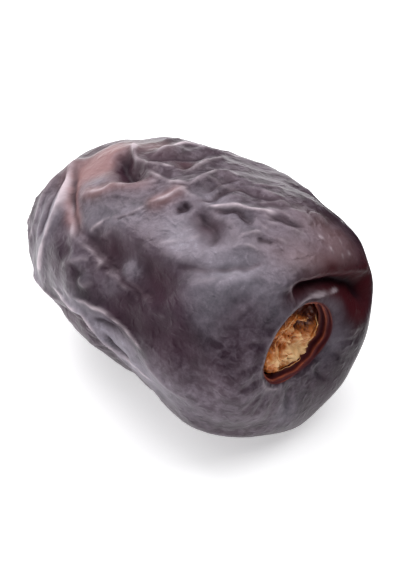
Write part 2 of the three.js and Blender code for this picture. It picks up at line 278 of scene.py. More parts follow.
@dataclass(frozen=True)
class Fold:
    """A narrow ridge, or a groove where its height is below zero."""

    height: float
    left: float
    right: float
    places: tuple[Place, ...]
    pale: float = 0.5
    red: float = 0.0
    band: float = 0.42
    crest_round: float = 0.1
    bed_round: float = 0.3

    def stamp(self, points: Array, normals: Array, relief: Array, marks: dict[str, Array]) -> None:
        """Adds the fold to the relief: its height dies away exponentially to each side, by its own
        width there, rounded at the crest and eased out at both ends.

        Args:
            points: Places on the skin.
            normals: Outward directions there.
            relief: Heights in millimetres, changed here.
            marks: Colour marks by name, changed here.
        """
        reach = 5.0 * max(self.left, self.right) + 0.3
        rows, distance, share, side = SkinPath(self.places).near(points, normals, reach)
        width = np.where(side > 0, self.left, self.right)
        bend = self.crest_round if self.height > 0 else self.bed_round
        past = np.hypot(distance, bend) - bend
        edge = smooth((reach - distance) / reach * 1.6)
        ends = smooth(np.minimum(share, 1.0 - share) / 0.3)
        uneven = 1.0 + 0.35 * noise(points[rows], 2.6, 61)
        profile = np.exp(-past / width) * edge * ends * uneven
        relief[rows] += self.height * profile
        thin = np.clip(1.0 - distance / (self.band * uneven), 0.0, 1.0)
        uneven_width = np.clip(0.7 + 0.8 * noise(points[rows], 1.5, 62), 0.3, 1.0)
        thin = thin * smooth(np.minimum(share, 1.0 - share) / 0.15) * uneven_width
        if self.height > 0:
            # a pale band along the crest: the dry edge's own paler colour, partly painted highlight
            marks["crest"][rows] = np.maximum(marks["crest"][rows], np.minimum(self.pale * thin, 1.0))
        else:
            # a dark band along the groove's bed, painted shade
            deep = min(1.0, abs(self.height) / 0.5)
            marks["crease"][rows] = np.maximum(marks["crease"][rows], deep * thin)
        if self.red:
            wide = np.exp(-((distance / 0.8) ** 2)) * ends
            marks["blush"][rows] = np.maximum(marks["blush"][rows], self.red * wide)


@dataclass(frozen=True)
class Swelling:
    """A broad soft ridge, or a trough where its height is below zero."""

    height: float
    width: float
    places: tuple[Place, ...]
    mark: str = "hollow"
    amount: float = 0.9

    def stamp(self, points: Array, normals: Array, relief: Array, marks: dict[str, Array]) -> None:
        """Adds the swelling: a bell curve across the path, eased out at both ends.

        Args:
            points: Places on the skin.
            normals: Outward directions there.
            relief: Heights in millimetres, changed here.
            marks: Colour marks by name, changed here.
        """
        rows, distance, share, _ = SkinPath(self.places).near(points, normals, 3.0 * self.width)
        ends = smooth(np.minimum(share, 1.0 - share) / 0.3)
        bell = np.exp(-((distance / self.width) ** 2)) * ends
        relief[rows] += self.height * bell
        # a trough marks its ground, by default as hollow, which the skin's finish turns into painted shade
        if self.height < 0:
            marks[self.mark][rows] = np.maximum(marks[self.mark][rows], self.amount * bell)


@dataclass(frozen=True)
class Spot:
    """A round place on the skin: a dent, a swelling or only a mark of colour."""

    place: Place
    along: float
    across: float
    depth: float = 0.0
    mark: str = ""
    amount: float = 0.0

    def stamp(self, points: Array, normals: Array, relief: Array, marks: dict[str, Array]) -> None:
        """Adds the spot: a bell curve over the offsets along and round the fruit.

        Args:
            points: Places on the skin.
            normals: Outward directions there.
            relief: Heights in millimetres, changed here.
            marks: Colour marks by name, changed here.
        """
        polar, round_ = np.radians(self.place[0]), np.radians(self.place[1])
        along, across, _ = BODY.axes(polar, round_)
        off = points - BODY.points(polar, round_)
        near = np.linalg.norm(off, axis=1) < 3.0 * max(self.along, self.across)
        a = off @ along / self.along
        b = off @ across / self.across
        bell = np.exp(-(a * a + b * b)) * near
        relief -= self.depth * bell
        if self.mark:
            marks[self.mark] += self.amount * bell


# The folds that give the fruit its look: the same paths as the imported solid's, then finer ones
MAIN_FOLDS: tuple[Fold, ...] = (
    Fold(0.6, 0.5, 0.8, ((141, 86), (136, 105), (130, 118), (123.5, 131), (121.5, 144), (121.5, 158),
         (123.5, 176), (127, 190)), pale=1.6, band=0.6),
    Fold(-0.75, 0.8, 0.4, ((134, 103.5), (128.5, 115.5), (122.5, 125.5), (116.5, 132.5), (111, 138.5),
         (105, 142)), red=1.0, band=0.5),
    Fold(0.4, 0.45, 1.0, ((122, 127), (118, 132), (113, 138), (109, 144), (105.5, 145), (101.5, 145),
         (98, 146), (96.7, 148), (96.4, 152), (96, 156)), pale=0.9),
    Fold(-0.5, 0.6, 0.6, ((110, 137), (105, 140), (101, 142), (97.5, 144.5), (95, 146), (93, 147),
         (91.5, 149), (89.5, 149.7), (86.5, 148.5), (79, 146)), bed_round=0.5, band=0.7),
    Fold(0.42, 0.45, 0.45, ((155, 118), (151, 130), (147, 148), (141, 166), (135, 182)), pale=0.8),
    Fold(0.4, 0.45, 0.45, ((164, 110), (160, 140), (154, 165), (146, 186)), pale=0.7),
    Fold(0.42, 0.5, 0.5, ((138, 198), (128, 195), (118, 192), (110, 189)), pale=0.8),
    Fold(-0.5, 0.55, 0.55, ((128, 206), (116, 203), (104, 199), (94, 199))),
    Fold(0.45, 0.4, 0.9, ((119, 126), (111, 119), (106, 112), (99, 103), (96, 98)), pale=0.9, red=0.6),
    Fold(-0.85, 0.8, 0.6, ((119, 87), (114, 93), (109, 98), (103, 103), (99, 107)), band=1.1),
    Fold(0.8, 0.5, 0.35, ((119, 76), (112, 87), (106.5, 92), (102, 91.5), (99.5, 90), (97, 86)),
         pale=2.0, band=0.42),
    Fold(0.55, 0.4, 0.7, ((108, 90), (105.5, 87), (106, 79.5), (105, 72), (105, 64), (102, 61),
         (98, 61), (96, 52), (95, 40)), pale=1.0, band=0.4),
    Fold(-0.9, 0.45, 0.45, ((103, 58), (101, 50), (99, 42))),
    Fold(0.42, 0.45, 0.5, ((95, 115), (93, 109), (92, 104), (91.5, 99), (91, 94)), pale=0.9, red=0.6),
    Fold(0.5, 0.35, 0.5, ((92, 96), (91.5, 92), (91, 88), (90.8, 83), (90.3, 76), (89.3, 69)), pale=1.1),
    Fold(0.4, 0.4, 0.5, ((95, 88), (94, 82), (94, 74), (94, 65), (95, 54)), pale=0.7),
    Fold(-0.55, 0.4, 0.4, ((90, 99), (88.5, 94), (88, 87), (87, 81), (83, 77), (79, 74), (75, 71))),
    Fold(0.45, 0.35, 0.5, ((88, 99), (87, 96), (84, 93), (81, 89), (77, 87), (73, 83), (68, 78)), pale=1.3),
    Fold(-0.65, 0.35, 0.35, ((86.5, 98), (83.5, 95), (80.5, 92), (76.5, 93), (72.5, 93), (68, 91))),
    Fold(-0.5, 0.6, 0.6, ((89, 101), (85.4, 104), (81.5, 106), (78, 111), (75.5, 116)), band=1.3),
    Fold(0.38, 0.8, 1.6, ((110, 136), (104, 134), (98, 130), (90, 129), (82, 126), (73, 123), (66, 118)),
         pale=0.3, crest_round=0.4),
    Fold(-0.4, 0.7, 0.6, ((85, 130), (79, 128), (72, 124), (64, 119), (57, 111), (51, 102)), bed_round=0.6),
    Fold(0.42, 0.6, 1.2, ((57, 154), (51, 147), (47, 137), (41, 126), (34, 118), (28, 109)), pale=0.3,
         crest_round=0.3),
    Fold(0.8, 2.4, 0.3, ((46, 128), (39, 114), (32.5, 98), (27.2, 72), (26.6, 52), (30, 36), (39, 20),
         (50, 5)), pale=0.25, crest_round=0.2),
    Fold(0.32, 0.35, 0.45, ((15, 60), (15.5, 95), (15.5, 130), (15.5, 165), (15.5, 200), (15, 235),
         (14.5, 262)), pale=0.8, band=0.3),
    Fold(0.35, 0.35, 0.35, ((16.3, 108), (15.6, 91), (15.1, 72), (15.9, 53), (17.6, 39), (20.3, 27.5),
         (23, 19)), pale=2.0, band=0.34),
    Fold(0.55, 0.4, 0.5, ((118, 182), (110, 181), (103, 178.5), (98, 177), (94.5, 181), (92.5, 186),
         (90, 189.5), (87, 192), (80, 196)), pale=1.4, band=0.36),
    Fold(0.48, 0.4, 0.5, ((110, 174), (104, 172), (98, 170), (93, 168.5), (90, 169.5), (87, 173),
         (80, 178)), pale=1.3, band=0.36),
    Fold(0.5, 0.7, 1.0, ((136, 46), (132, 32), (129, 16), (129, -2), (133, -20)), pale=0.6, band=0.5),
    Fold(-0.55, 0.8, 0.5, ((126, 42), (121, 31), (116, 21), (110, 14), (103, 10)), band=0.5),
    Fold(0.5, 0.4, 0.7, ((114, 24), (106, 14), (98, 15), (90, 6), (81, 8), (72, 0)), pale=0.8),
    Fold(-0.5, 0.5, 0.5, ((110, 354), (101, 347), (91, 350), (81, 342), (70, 345))),
    Fold(0.45, 0.45, 0.7, ((120, 334), (109, 324), (97, 327), (85, 317), (74, 319), (62, 310)), pale=0.9),
    Fold(0.42, 0.4, 0.5, ((92, 340), (84, 333), (75, 334), (66, 326)), pale=0.7),
)
FINE_FOLDS: tuple[Fold, ...] = (
    Fold(0.3, 0.35, 0.35, ((104, 95), (100, 96), (97, 97), (94, 96), (91, 92)), pale=0.8),
    Fold(0.26, 0.3, 0.35, ((110, 72), (110, 64), (109, 54)), pale=0.6),
    Fold(-0.4, 0.35, 0.35, ((104, 84), (101, 79), (98, 72), (97, 62))),
    Fold(0.24, 0.25, 0.35, ((105, 138), (102.5, 132.5), (101, 128.5), (99.5, 126)), pale=1.2, band=0.3),
    Fold(0.16, 0.3, 0.4, ((100, 127), (97, 122), (95, 116), (94, 112)), pale=0.6, band=0.3),
    Fold(-0.26, 0.22, 0.22, ((99, 127), (96.5, 122), (94.5, 116)), band=0.28),
    Fold(0.26, 0.3, 0.3, ((101, 139), (99, 135), (97, 131)), pale=0.6),
    Fold(0.34, 0.35, 0.35, ((143, 106), (140, 126), (137, 144), (137, 162), (140, 178)), pale=0.9),
    Fold(-0.4, 0.3, 0.3, ((136, 106), (132, 122), (129, 138), (127, 152), (128, 166))),
    Fold(0.26, 0.3, 0.3, ((133, 128), (130, 142), (129, 156), (131, 170)), pale=0.7),
    Fold(0.28, 0.28, 0.32, ((109, 161), (105, 156), (102, 151.5), (99, 149)), pale=0.6),
    Fold(-0.15, 0.35, 0.35, ((112, 150), (107, 151), (103, 156), (99, 163))),
    Fold(-0.35, 0.3, 0.3, ((72, 86), (69, 84), (65, 80), (61, 76), (56, 72))),
    Fold(0.24, 0.35, 0.4, ((74, 94), (70, 89), (64, 84), (57, 79), (50, 74)), pale=0.5),
    Fold(-0.34, 0.28, 0.28, ((65, 99), (62.5, 97), (60, 95), (57, 93))),
    Fold(0.28, 0.3, 0.4, ((87, 72), (85, 69), (83, 65), (82, 58)), pale=0.6),
    Fold(0.26, 0.3, 0.4, ((80, 81), (78, 79), (75, 73), (70, 69)), pale=0.5),
    Fold(0.24, 0.3, 0.3, ((72, 103), (70, 101), (68, 98), (67, 93)), pale=0.7),
    Fold(0.24, 0.3, 0.3, ((71, 109), (68, 107), (64, 104), (58, 102)), pale=0.6),
    Fold(0.2, 0.5, 0.7, ((75, 131), (70, 128), (64, 123), (57, 114)), pale=0.3),
    Fold(0.2, 0.3, 0.3, ((34, 98), (27, 96), (20, 95), (15, 92)), pale=0.6),
    Fold(-0.36, 0.16, 0.16, ((96, 174.5), (93.5, 174.8), (91, 174), (89, 175)), band=0.24),
    Fold(-0.36, 0.16, 0.16, ((93, 181), (91.5, 184), (90, 187.5), (88, 190)), band=0.24),
    Fold(-0.3, 0.14, 0.14, ((90.5, 189), (89, 190.7), (87.5, 192), (85.5, 193)), band=0.22),
    Fold(0.3, 0.35, 0.5, ((96, 149), (94.5, 150), (92, 150.5), (90.3, 151), (89.3, 152.5),
         (88.5, 155.5)), pale=0.5),
    Fold(0.28, 0.25, 0.3, ((101, 158), (100.3, 160), (98.8, 161), (97.3, 160.3), (95.8, 157.5)),
         pale=0.9, band=0.4),
    Fold(-0.6, 0.28, 0.28, ((90.2, 108), (89.9, 105.5), (89.9, 103), (90, 100.5)), band=0.5),
    Fold(-0.3, 0.22, 0.22, ((90, 94.5), (89.6, 87), (89.5, 81), (89, 75), (88, 70)), band=0.32),
    Fold(0.12, 0.5, 0.5, ((89.8, 125), (87, 119), (84, 114), (83, 109)), pale=0.5, band=0.5),
    Fold(0.2, 0.4, 0.4, ((86, 176), (80, 183), (72, 189), (62, 193)), pale=0.5),
    Fold(0.2, 0.3, 0.3, ((92, 146), (87, 151), (82, 153), (77, 152)), pale=0.3),
)
SWELLINGS: tuple[Swelling, ...] = (
    Swelling(-1.0, 1.7, ((111, 136), (104, 137), (96, 139), (88, 140), (80, 142), (71, 145))),
    Swelling(0.75, 1.3, ((83, 138), (75, 136), (67, 131), (60, 125), (53, 115), (48, 104))),
    Swelling(1.2, 4.0, ((62, 230), (52, 256), (43, 284), (35, 312), (33, 342), (40, 368), (50, 384))),
    Swelling(-1.25, 3.4, ((128, 202), (113, 205), (98, 207), (83, 209), (67, 213)), amount=0.0),
    Swelling(-0.5, 2.4, ((96, 158), (88, 162), (79, 163), (62, 160), (47, 157)), amount=0.4),
    # the trough under the stem end's shoulder: dark red, partly painted shade under the overhang
    Swelling(-1.3, 1.1, ((31.5, 116), (25.4, 102), (22.3, 74), (23.3, 46), (27.6, 22), (33, 2), (38, -20)),
             mark="maroon", amount=1.5),
    Swelling(-0.9, 1.7, ((116, 16), (106, 21), (96, 22), (86, 26), (76, 24), (66, 30)), amount=0.55),
    Swelling(0.6, 1.4, ((112, 38), (100, 41), (88, 40), (76, 44), (66, 42))),
    Swelling(-0.8, 1.9, ((122, 344), (108, 338), (94, 341), (80, 333), (66, 336)), amount=0.45),
    Swelling(0.7, 2.5, ((97, 206), (87, 209), (76, 215), (65, 225), (53, 240), (41, 256))),
    Swelling(-0.5, 2.2, ((146, 160), (152, 145), (153, 125), (150, 100), (137, 80), (129, 62))),
    Swelling(-0.5, 2.4, ((150, 104), (139, 80), (129, 62), (120, 48))),
)
# Places of colour alone, by mark: polar and round degrees, length, width and amount
COLOUR_SPOTS: dict[str, tuple[tuple[float, float, float, float, float], ...]] = {
    # red where the skin is thin over the flesh; the spot at (31, 66) also lightens a face turned from the
    # lamps, a painted light
    "blush": (
        (109, 76, 1.8, 1.4, 0.4), (115, 111, 2.0, 1.5, -0.8), (42, 54, 3.0, 3.4, 0.45),
        (126, 84, 3.0, 2.2, 0.8), (31, 66, 1.6, 4.0, 0.45),
    ),
    # the wax's own grey-lilac bloom, partly painted highlight and painted reflection of the white floor
    "bloom_and_highlight": (
        (115, 111, 2.0, 1.5, 0.5), (85, 114.5, 3.1, 2.2, 1.6), (65, 131, 3.4, 1.8, 1.05),
        (66, 113, 3.4, 2.6, 0.7), (57, 84, 3.4, 3.4, 0.2), (66, 144, 2.6, 2.2, 0.5),
        (127, 149, 2.6, 4.0, 0.55), (18.6, 19, 1.0, 1.5, 1.0), (21, 335, 2.2, 2.2, 0.6),
        (80, 200, 8.0, 3.2, 0.25), (98, 177, 5.5, 2.0, 1.0), (87, 192, 5.0, 2.4, 0.7),
        (91, 179, 2.8, 1.5, 0.8), (104, 130, 3.2, 2.4, 0.45), (98.5, 133.5, 4.0, 1.4, 0.3),
        (95, 119, 3.4, 2.0, 0.45), (89, 94, 2.0, 1.6, 0.45), (80, 95, 3.2, 1.8, 0.45),
        (56, 120, 4.5, 1.1, 0.4), (63.5, 149, 1.8, 1.4, 0.35), (24, 118, 2.2, 2.6, 0.15),
        (31, 70, 1.4, 4.0, 0.35), (17.5, 316, 1.2, 2.4, 0.45), (30, 103, 1.8, 2.0, 0.35),
        (122.5, 141, 1.3, 3.0, 0.4), (130, 192, 2.0, 2.2, 0.45), (102, 134.5, 1.8, 1.4, 0.35),
        (63, 107.5, 2.0, 1.4, 0.2), (47, 107, 2.4, 2.0, 0.2), (38, 58, 3.0, 3.2, 0.35),
        (101, 147, 1.6, 1.2, 0.35), (92, 158, 1.5, 1.2, 0.6), (31, 253, 1.8, 1.5, 0.6),
    ),
    "shade": (
        (108, 157, 3.4, 2.6, 0.85), (90.6, 141.4, 1.7, 1.4, -1.6), (92, 138, 3.4, 1.9, 0.95),
        (90, 165, 3.4, 2.0, 1.05), (85, 155, 5.0, 3.0, 1.0), (69, 158, 3.4, 2.4, 0.55),
        (42, 155, 5.0, 4.0, 0.15), (43, 50, 3.5, 4.5, 0.3), (48, 32, 3.5, 2.5, 0.6),
        (86, 60, 4.0, 3.0, 0.3), (27, 300, 3.0, 3.5, 0.6), (28.5, 10, 1.8, 2.6, 0.8),
        (24.5, 42, 1.3, 2.4, 0.6), (100, 120, 3.0, 2.5, 0.1), (86.5, 137, 3.0, 1.5, 0.8),
        (60, 198, 6.0, 3.6, 0.18), (92, 57, 4.0, 2.0, 0.4), (77, 128, 2.6, 2.0, 0.55),
        (73, 108, 3.0, 1.6, 0.28), (89.5, 101, 1.2, 1.3, 0.25), (90.3, 145, 1.3, 1.1, 0.35),
        (90.5, 135, 1.6, 1.4, 0.3), (78.5, 144, 1.7, 1.4, 0.3), (114.5, 164, 1.5, 2.6, 0.2),
        (31, 333, 2.2, 3.5, 0.5), (97.5, 165, 1.7, 1.4, 0.75), (82, 146, 3.0, 2.0, 0.25),
        (46, 133, 3.2, 2.4, 0.5), (115, 137, 1.2, 1.6, 0.3), (37, 14, 1.8, 2.4, 0.6),
        (38, 306, 3.0, 4.5, 0.5),
    ),
    # painted shade in hollows and pockets
    "hollow": (
        (90.6, 141.4, 1.7, 1.4, -1.0), (103.3, 99.5, 1.3, 1.3, 0.8), (104.5, 83.5, 1.5, 1.1, 0.7),
        (98.5, 82, 1.3, 1.1, 0.6),
    ),
    # dark red under the stem end's overhang, partly painted shade
    "maroon": (
        (28.5, 10, 1.8, 2.6, 1.2), (24.5, 42, 1.3, 2.4, 0.8),
    ),
    # painted highlights: small glints on the skin and a bright strip along the top edge
    "crest": (
        (49.7, 67.2, 0.26, 0.22, 0.8), (48.2, 65, 0.22, 0.2, 0.6), (40.8, 60.3, 0.22, 0.24, 0.7),
        (45.4, 52, 0.22, 0.2, 0.5), (37.6, 49.7, 0.22, 0.22, 0.6), (39, 44, 0.26, 0.24, 0.7),
        (105.6, 67, 0.6, 2.4, 0.7),
    ),
}
# dents and lumps: their hollow and maroon marks darken pockets as painted shade, their bloom marks lighten
# bumps partly as painted highlight
SPOTS: tuple[Spot, ...] = (
    Spot((120, 105), 3.4, 2.6, depth=0.6, mark="blush", amount=1.5),
    Spot((96.6, 81), 0.9, 0.9, depth=0.5, mark="maroon", amount=0.8),
    Spot((112, 95), 1.3, 1.5, depth=0.45, mark="hollow", amount=1.3),
    Spot((106, 100.5), 1.3, 1.4, depth=0.45, mark="hollow", amount=1.1),
    Spot((104, 85), 0.9, 1.1, depth=0.5, mark="hollow", amount=0.7),
    Spot((83.5, 105.5), 2.2, 1.7, depth=0.3, mark="hollow", amount=0.7),
    Spot((88, 116), 3.4, 2.4, depth=0.3),
    Spot((101.5, 190.5), 2.2, 1.0, depth=0.75, mark="hollow", amount=1.1),
    Spot((105, 199), 3.0, 1.6, depth=-0.3),
    Spot((107, 212), 3.2, 2.2, depth=-0.9),
    Spot((139, 181), 2.5, 2.0, depth=-0.35),
    Spot((48, 19), 2.4, 2.5, depth=-0.2),
    Spot((44, 336), 3.0, 3.0, depth=0.22),
    Spot((47, 288), 3.0, 3.0, depth=-0.22),
    Spot((104, 158), 3.0, 3.0, depth=-0.4),
    Spot((112, 157), 0.8, 0.7, depth=-0.2, mark="bloom_and_highlight", amount=0.5),
    Spot((104, 153), 0.8, 0.7, depth=-0.25, mark="bloom_and_highlight", amount=0.6),
    Spot((98.3, 159.5), 0.8, 0.8, depth=-0.2, mark="bloom_and_highlight", amount=0.7),
    Spot((98, 186), 1.4, 0.6, depth=0.35, mark="hollow", amount=0.8),
    Spot((90.6, 141.4), 1.5, 1.3, depth=-0.4, mark="bloom_and_highlight", amount=0.4),
    Spot((34, 6), 2.2, 2.4, depth=0.4, mark="maroon", amount=1.3),
) + tuple(
    Spot((polar, round_), along, across, mark=mark, amount=amount)
    for mark, rows in COLOUR_SPOTS.items()
    for polar, round_, along, across, amount in rows
)
MARKS = ("crest", "crease", "hollow", "blush", "bloom_and_highlight", "shade", "maroon")
STEM_PUCKERS = 17
TOP_WRINKLES = 10
TIP_PUCKERS = 11
HIDDEN_CREASES = 22


def stem_pucker(k: int) -> Fold:
    """One short groove that runs out from the stem hollow's rim, placed by the golden ratio."""
    round_ = 130.0 + 225.0 * k / STEM_PUCKERS + 5.0 * math.sin(2.3 * k)
    length = 13.0 + 8.0 * golden_share(k)
    bend = 5.0 * math.sin(1.7 * k + 1.0)
    depth = 0.08 + 0.1 * golden_share(k, 0.38)
    start = 15.5
    places = ((start, round_), (start + length / 2, round_ + 0.6 * bend), (start + length, round_ + bend))
    return Fold(-depth, 0.25, 0.25, places, band=0.25)


def tip_pucker(k: int) -> Fold:
    """One groove of those that gather at the tip."""
    round_ = k * 360.0 / TIP_PUCKERS + 9.0 * math.sin(1.9 * k)
    length = 16.0 + 12.0 * golden_share(k)
    start = 174.0
    places = ((start, round_), (start - length / 2, round_ + 4.0), (start - length, round_ + 10.0))
    return Fold(-0.3 - 0.2 * golden_share(k, 0.41), 0.6, 0.6, places)


def top_wrinkle(k: int) -> Fold:
    """One of the fine, nearly parallel wrinkles between the top folds and the stem end's shoulder."""
    start = 95.0 - 34.0 * golden_share(k)
    round_ = 100.0 - 46.0 * golden_share(k * 3, 0.7548776662)
    length = 9.0 + 9.0 * golden_share(k, 0.41)
    places = (
        (start, round_),
        (start - length / 2, round_ - 0.35 * length),
        (start - length, round_ - 0.5 * length),
    )
    return Fold(0.14 + 0.1 * golden_share(k, 0.29), 0.3, 0.4, places, pale=0.5)


def hidden_crease(k: int) -> Fold:
    """One crease of the far flank or the underside, turned this way and that by its number."""
    spread = golden_share(k)
    start = 48.0 + 72.0 * golden_share(k * 7, 0.3819660113)
    length = 16.0 + 14.0 * golden_share(k, 0.7548776662)
    turn = 16.0 * math.sin(1.9 * k)
    places = tuple(
        (
            start + length * i / 4,
            222.0 + 184.0 * spread + turn * (i / 4 - 0.5) + 5.0 * math.sin(1.3 * i + k),
        )
        for i in range(5)
    )
    raised = 1.0 if k % 3 else -1.0
    return Fold(raised * (0.26 + 0.2 * spread), 0.5, 0.8, places, pale=0.4)


@dataclass(frozen=True)
class BoxFit:
    """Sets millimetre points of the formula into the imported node's box, in metres."""

    low: Array
    high: Array
    box_low: Array
    box_high: Array

    @classmethod
    def to_node(cls, points: Array, node: str) -> "BoxFit":
        """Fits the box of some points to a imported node's box.

        Args:
            points: Places in millimetres.
            node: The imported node's name.

        Returns:
            The fit.
        """
        box_low, box_high = (np.array(corner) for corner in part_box(node))
        return cls(points.min(0), points.max(0), box_low, box_high)

    def place(self, points: Array) -> Array:
        """Each axis is stretched by the least bit that makes the two boxes agree.

        Args:
            points: Places in millimetres, along the fruit's own axis.

        Returns:
            The same places in the row's frame, in metres.
        """
        share = (points - self.low) / (self.high - self.low)
        return self.box_low + share * (self.box_high - self.box_low)


def make_object(
    name: str, points: Array, faces: list[Array], material: bpy.types.Material
) -> bpy.types.Object:
    """Makes a smooth-shaded mesh object at the origin.

    Args:
        name: The piece's name.
        points: Places in metres.
        faces: Arrays of vertex numbers, one face a row.
        material: Its finish.

    Returns:
        The linked object.
    """
    mesh = bpy.data.meshes.new(name)
    mesh.from_pydata(points.tolist(), [], [row for block in faces for row in block.tolist()])
    mesh.polygons.foreach_set("use_smooth", np.ones(len(mesh.polygons), bool))
    mesh.materials.append(material)
    mesh.update()
    made = bpy.data.objects.new(name, mesh)
    bpy.context.scene.collection.objects.link(made)
    return made


def give_mark(piece: bpy.types.Object, name: str, values: Array) -> None:
    """Stores one number for each vertex, for the finish to read."""
    attribute = piece.data.attributes.new(name, "FLOAT", "POINT")
    attribute.data.foreach_set("value", np.clip(values, 0.0, 1.0).astype(np.float32).ravel())


def closed_grid(grid: Array) -> tuple[Array, list[Array]]:
    """Joins rows of points into a closed skin. The first and the last row are poles.

    Args:
        grid: Rows by columns by three.

    Returns:
        The points, and the triangles at the poles with the quads between.
    """
    rows, columns = grid.shape[:2]
    points = np.concatenate([grid[0, :1], grid[1:-1].reshape(-1, 3), grid[-1, :1]])
    j = np.arange(columns)
    i = np.arange(rows - 3)[:, None]
    here, right = 1 + i * columns + j, 1 + i * columns + (j + 1) % columns
    quads = np.stack([here, here + columns, right + columns, right], axis=-1).reshape(-1, 4)
    last = len(points) - 1
    first_ring = np.stack([np.zeros_like(j), 1 + j, 1 + (j + 1) % columns], axis=1)
    edge = last - columns
    last_ring = np.stack([np.full_like(j, last), edge + (j + 1) % columns, edge + j], axis=1)
    return points, [quads, first_ring, last_ring]


def grid_normals(grid: Array) -> Array:
    """Outward directions of a closed grid, from the differences along its rows and columns."""
    along = np.gradient(grid, axis=0)
    around = (np.roll(grid, -1, axis=1) - np.roll(grid, 1, axis=1)) / 2.0
    normals = unit(np.cross(along, around))
    normals[0] = unit(normals[1].mean(0))
    normals[-1] = unit(normals[-2].mean(0))
    return normals


@dataclass
class DateFlesh:
    """The fruit itself: skin and flesh in one piece, with every fold of its skin."""

    rows: int = 246
    columns: int = 392
    hollow_share: float = 0.15
    ring_height: float = 0.3
    husk_rings: int = 3
    name: str = "date_skin_and_flesh"
    open_side: tuple[float, float, float] = (0.525, -0.525, 0.669)
    fit: BoxFit = field(init=False)

    def relief(self, points: Array, normals: Array, polar: Array) -> tuple[Array, dict[str, Array]]:
        """Heights of the folds over the plain body, and the colour marks that go with them.

        Args:
            points: Places on the plain body.
            normals: Outward directions there.
            polar: Their polar angles.

        Returns:
            Heights in millimetres, and marks from 0 to 1 by name.
        """
        marks = {name: np.zeros(len(points)) for name in MARKS}
        x, y, z = points.T
        long = np.sin(0.55 * x + 0.4 * np.sin(0.5 * y) + 1.0) * np.sin(0.6 * y + 0.3)
        short = np.sin(1.1 * x + 0.8 * z + 2.0) * np.cos(0.9 * y - 0.5 * x)
        height = 0.16 * long * np.cos(0.45 * z) + 0.1 * short
        drift = np.stack([noise(points, 1.5, seed) for seed in (63, 64, 65)], axis=-1)
        points = points + 0.22 * drift
        shapes = [*MAIN_FOLDS, *FINE_FOLDS, *SWELLINGS, *SPOTS]
        shapes += [stem_pucker(k) for k in range(STEM_PUCKERS)]
        shapes += [tip_pucker(k) for k in range(TIP_PUCKERS)]
        shapes += [top_wrinkle(k) for k in range(TOP_WRINKLES)]
        shapes += [hidden_crease(k) for k in range(HIDDEN_CREASES)]
        for shape in shapes:
            shape.stamp(points, normals, height, marks)
        outside = smooth((polar - 0.86 * BODY.rim) / (0.14 * BODY.rim))
        above = smooth((z - BODY.rest_level + 0.1) / 0.9)
        marks["blush"] *= 1.0 - np.clip(marks["hollow"], 0.0, 1.0)
        for values in marks.values():
            values *= outside
        return height * outside * above, marks

    def fine_wrinkles(self, points: Array, normals: Array) -> tuple[Array, Array]:
        """Small wrinkles from creased noise: lengthwise on the flanks, slanting over the top, in
        rings near the tip, and nearly absent on the tight skin of the stem end.

        Args:
            points: Places on the folded skin.
            normals: Outward directions there.

        Returns:
            Heights in millimetres, and how near each point is to a wrinkle's crest, 0 to 1.
        """
        warp = np.stack([noise(points, 3.2, seed) for seed in (11, 12, 13)], axis=-1)
        bent = points + 1.2 * warp
        turned_axes = [bent[:, 0] + bent[:, 1], bent[:, 1] - bent[:, 0], bent[:, 2]]
        slant = np.stack(turned_axes, axis=-1) / math.sqrt(2.0)
        lengthwise = (
            creased(noise(bent, (6.0, 1.9, 1.9), 21))
            + 0.6 * creased(noise(bent, (3.4, 1.0, 1.0), 22))
        )
        across = (
            creased(noise(slant, (4.6, 1.7, 3.0), 23))
            + 0.7 * creased(noise(slant, (2.6, 0.95, 1.6), 24))
        )
        rings = creased(noise(bent, (1.7, 3.2, 3.2), 25)) + 0.6 * creased(noise(bent, (0.9, 1.6, 1.6), 26))
        x = points[:, 0]
        top = smooth((normals[:, 2] - 0.35) / 0.35)
        tip = smooth((-x - 8.0) / 6.0)
        taut = smooth((x - 0.5) / 8.0)
        mixed = lengthwise * (1.0 - top) * (1.0 - tip) + across * top * (1.0 - tip) + rings * tip
        patchy = 0.35 + 0.65 * smooth(0.5 + 1.2 * noise(points, 5.0, 31))
        strength = mixed * patchy * (1.0 - 0.88 * taut) * (1.0 - 0.5 * tip) * (1.0 - 0.3 * top)
        strength *= 1.0 - 0.3 * self.evenness(normals)
        pebbles = 0.018 * noise(points, 0.75, 41)
        return 0.15 * strength + pebbles, 0.28 * strength

    def evenness(self, normals: Array) -> Array:
        """How even the wax is: it streaked only where the fruit lay open to the sun and wind.

        Args:
            normals: Outward directions.

        Returns:
            0 on the open side to 1 on the side turned away from it.
        """
        return smooth(0.25 - 1.3 * (normals @ self.open_side))

    def hollow_rings(self, polar: Array, round_: Array, points: Array) -> tuple[Array, Array]:
        """Torn rings of husk on the hollow's wall, wavy and broken here and there.

        Args:
            polar: Angles from the stem pole.
            round_: Angles round the fruit.
            points: Places on the plain body.

        Returns:
            How far each point moves, in millimetres, and how near it is to a ring's edge, 0 to 1.
        """
        q = np.clip(polar / BODY.rim, 0.0, 1.0)
        wall = (q - BODY.floor_rows) / (1.0 - BODY.floor_rows)
        wobble = 0.05 * np.sin(3.0 * round_ + 1.0) + 0.1 * noise(points, (9.0, 1.6, 1.6), 51)
        wave = np.abs(np.sin(math.pi * self.husk_rings * (wall + wobble)))
        torn = 0.6 + 0.4 * smooth(0.5 + 1.5 * noise(points, (9.0, 1.1, 1.1), 52))
        band = smooth((wall - 0.1) / 0.15) * smooth((0.98 - wall) / 0.1)
        edge = (1.0 - wave) ** 1.4 * band * torn
        inward = np.stack([0.45 * np.ones_like(q), -0.8 * np.cos(round_), -0.8 * np.sin(round_)], axis=-1)
        return self.ring_height * edge[..., None] * inward, edge

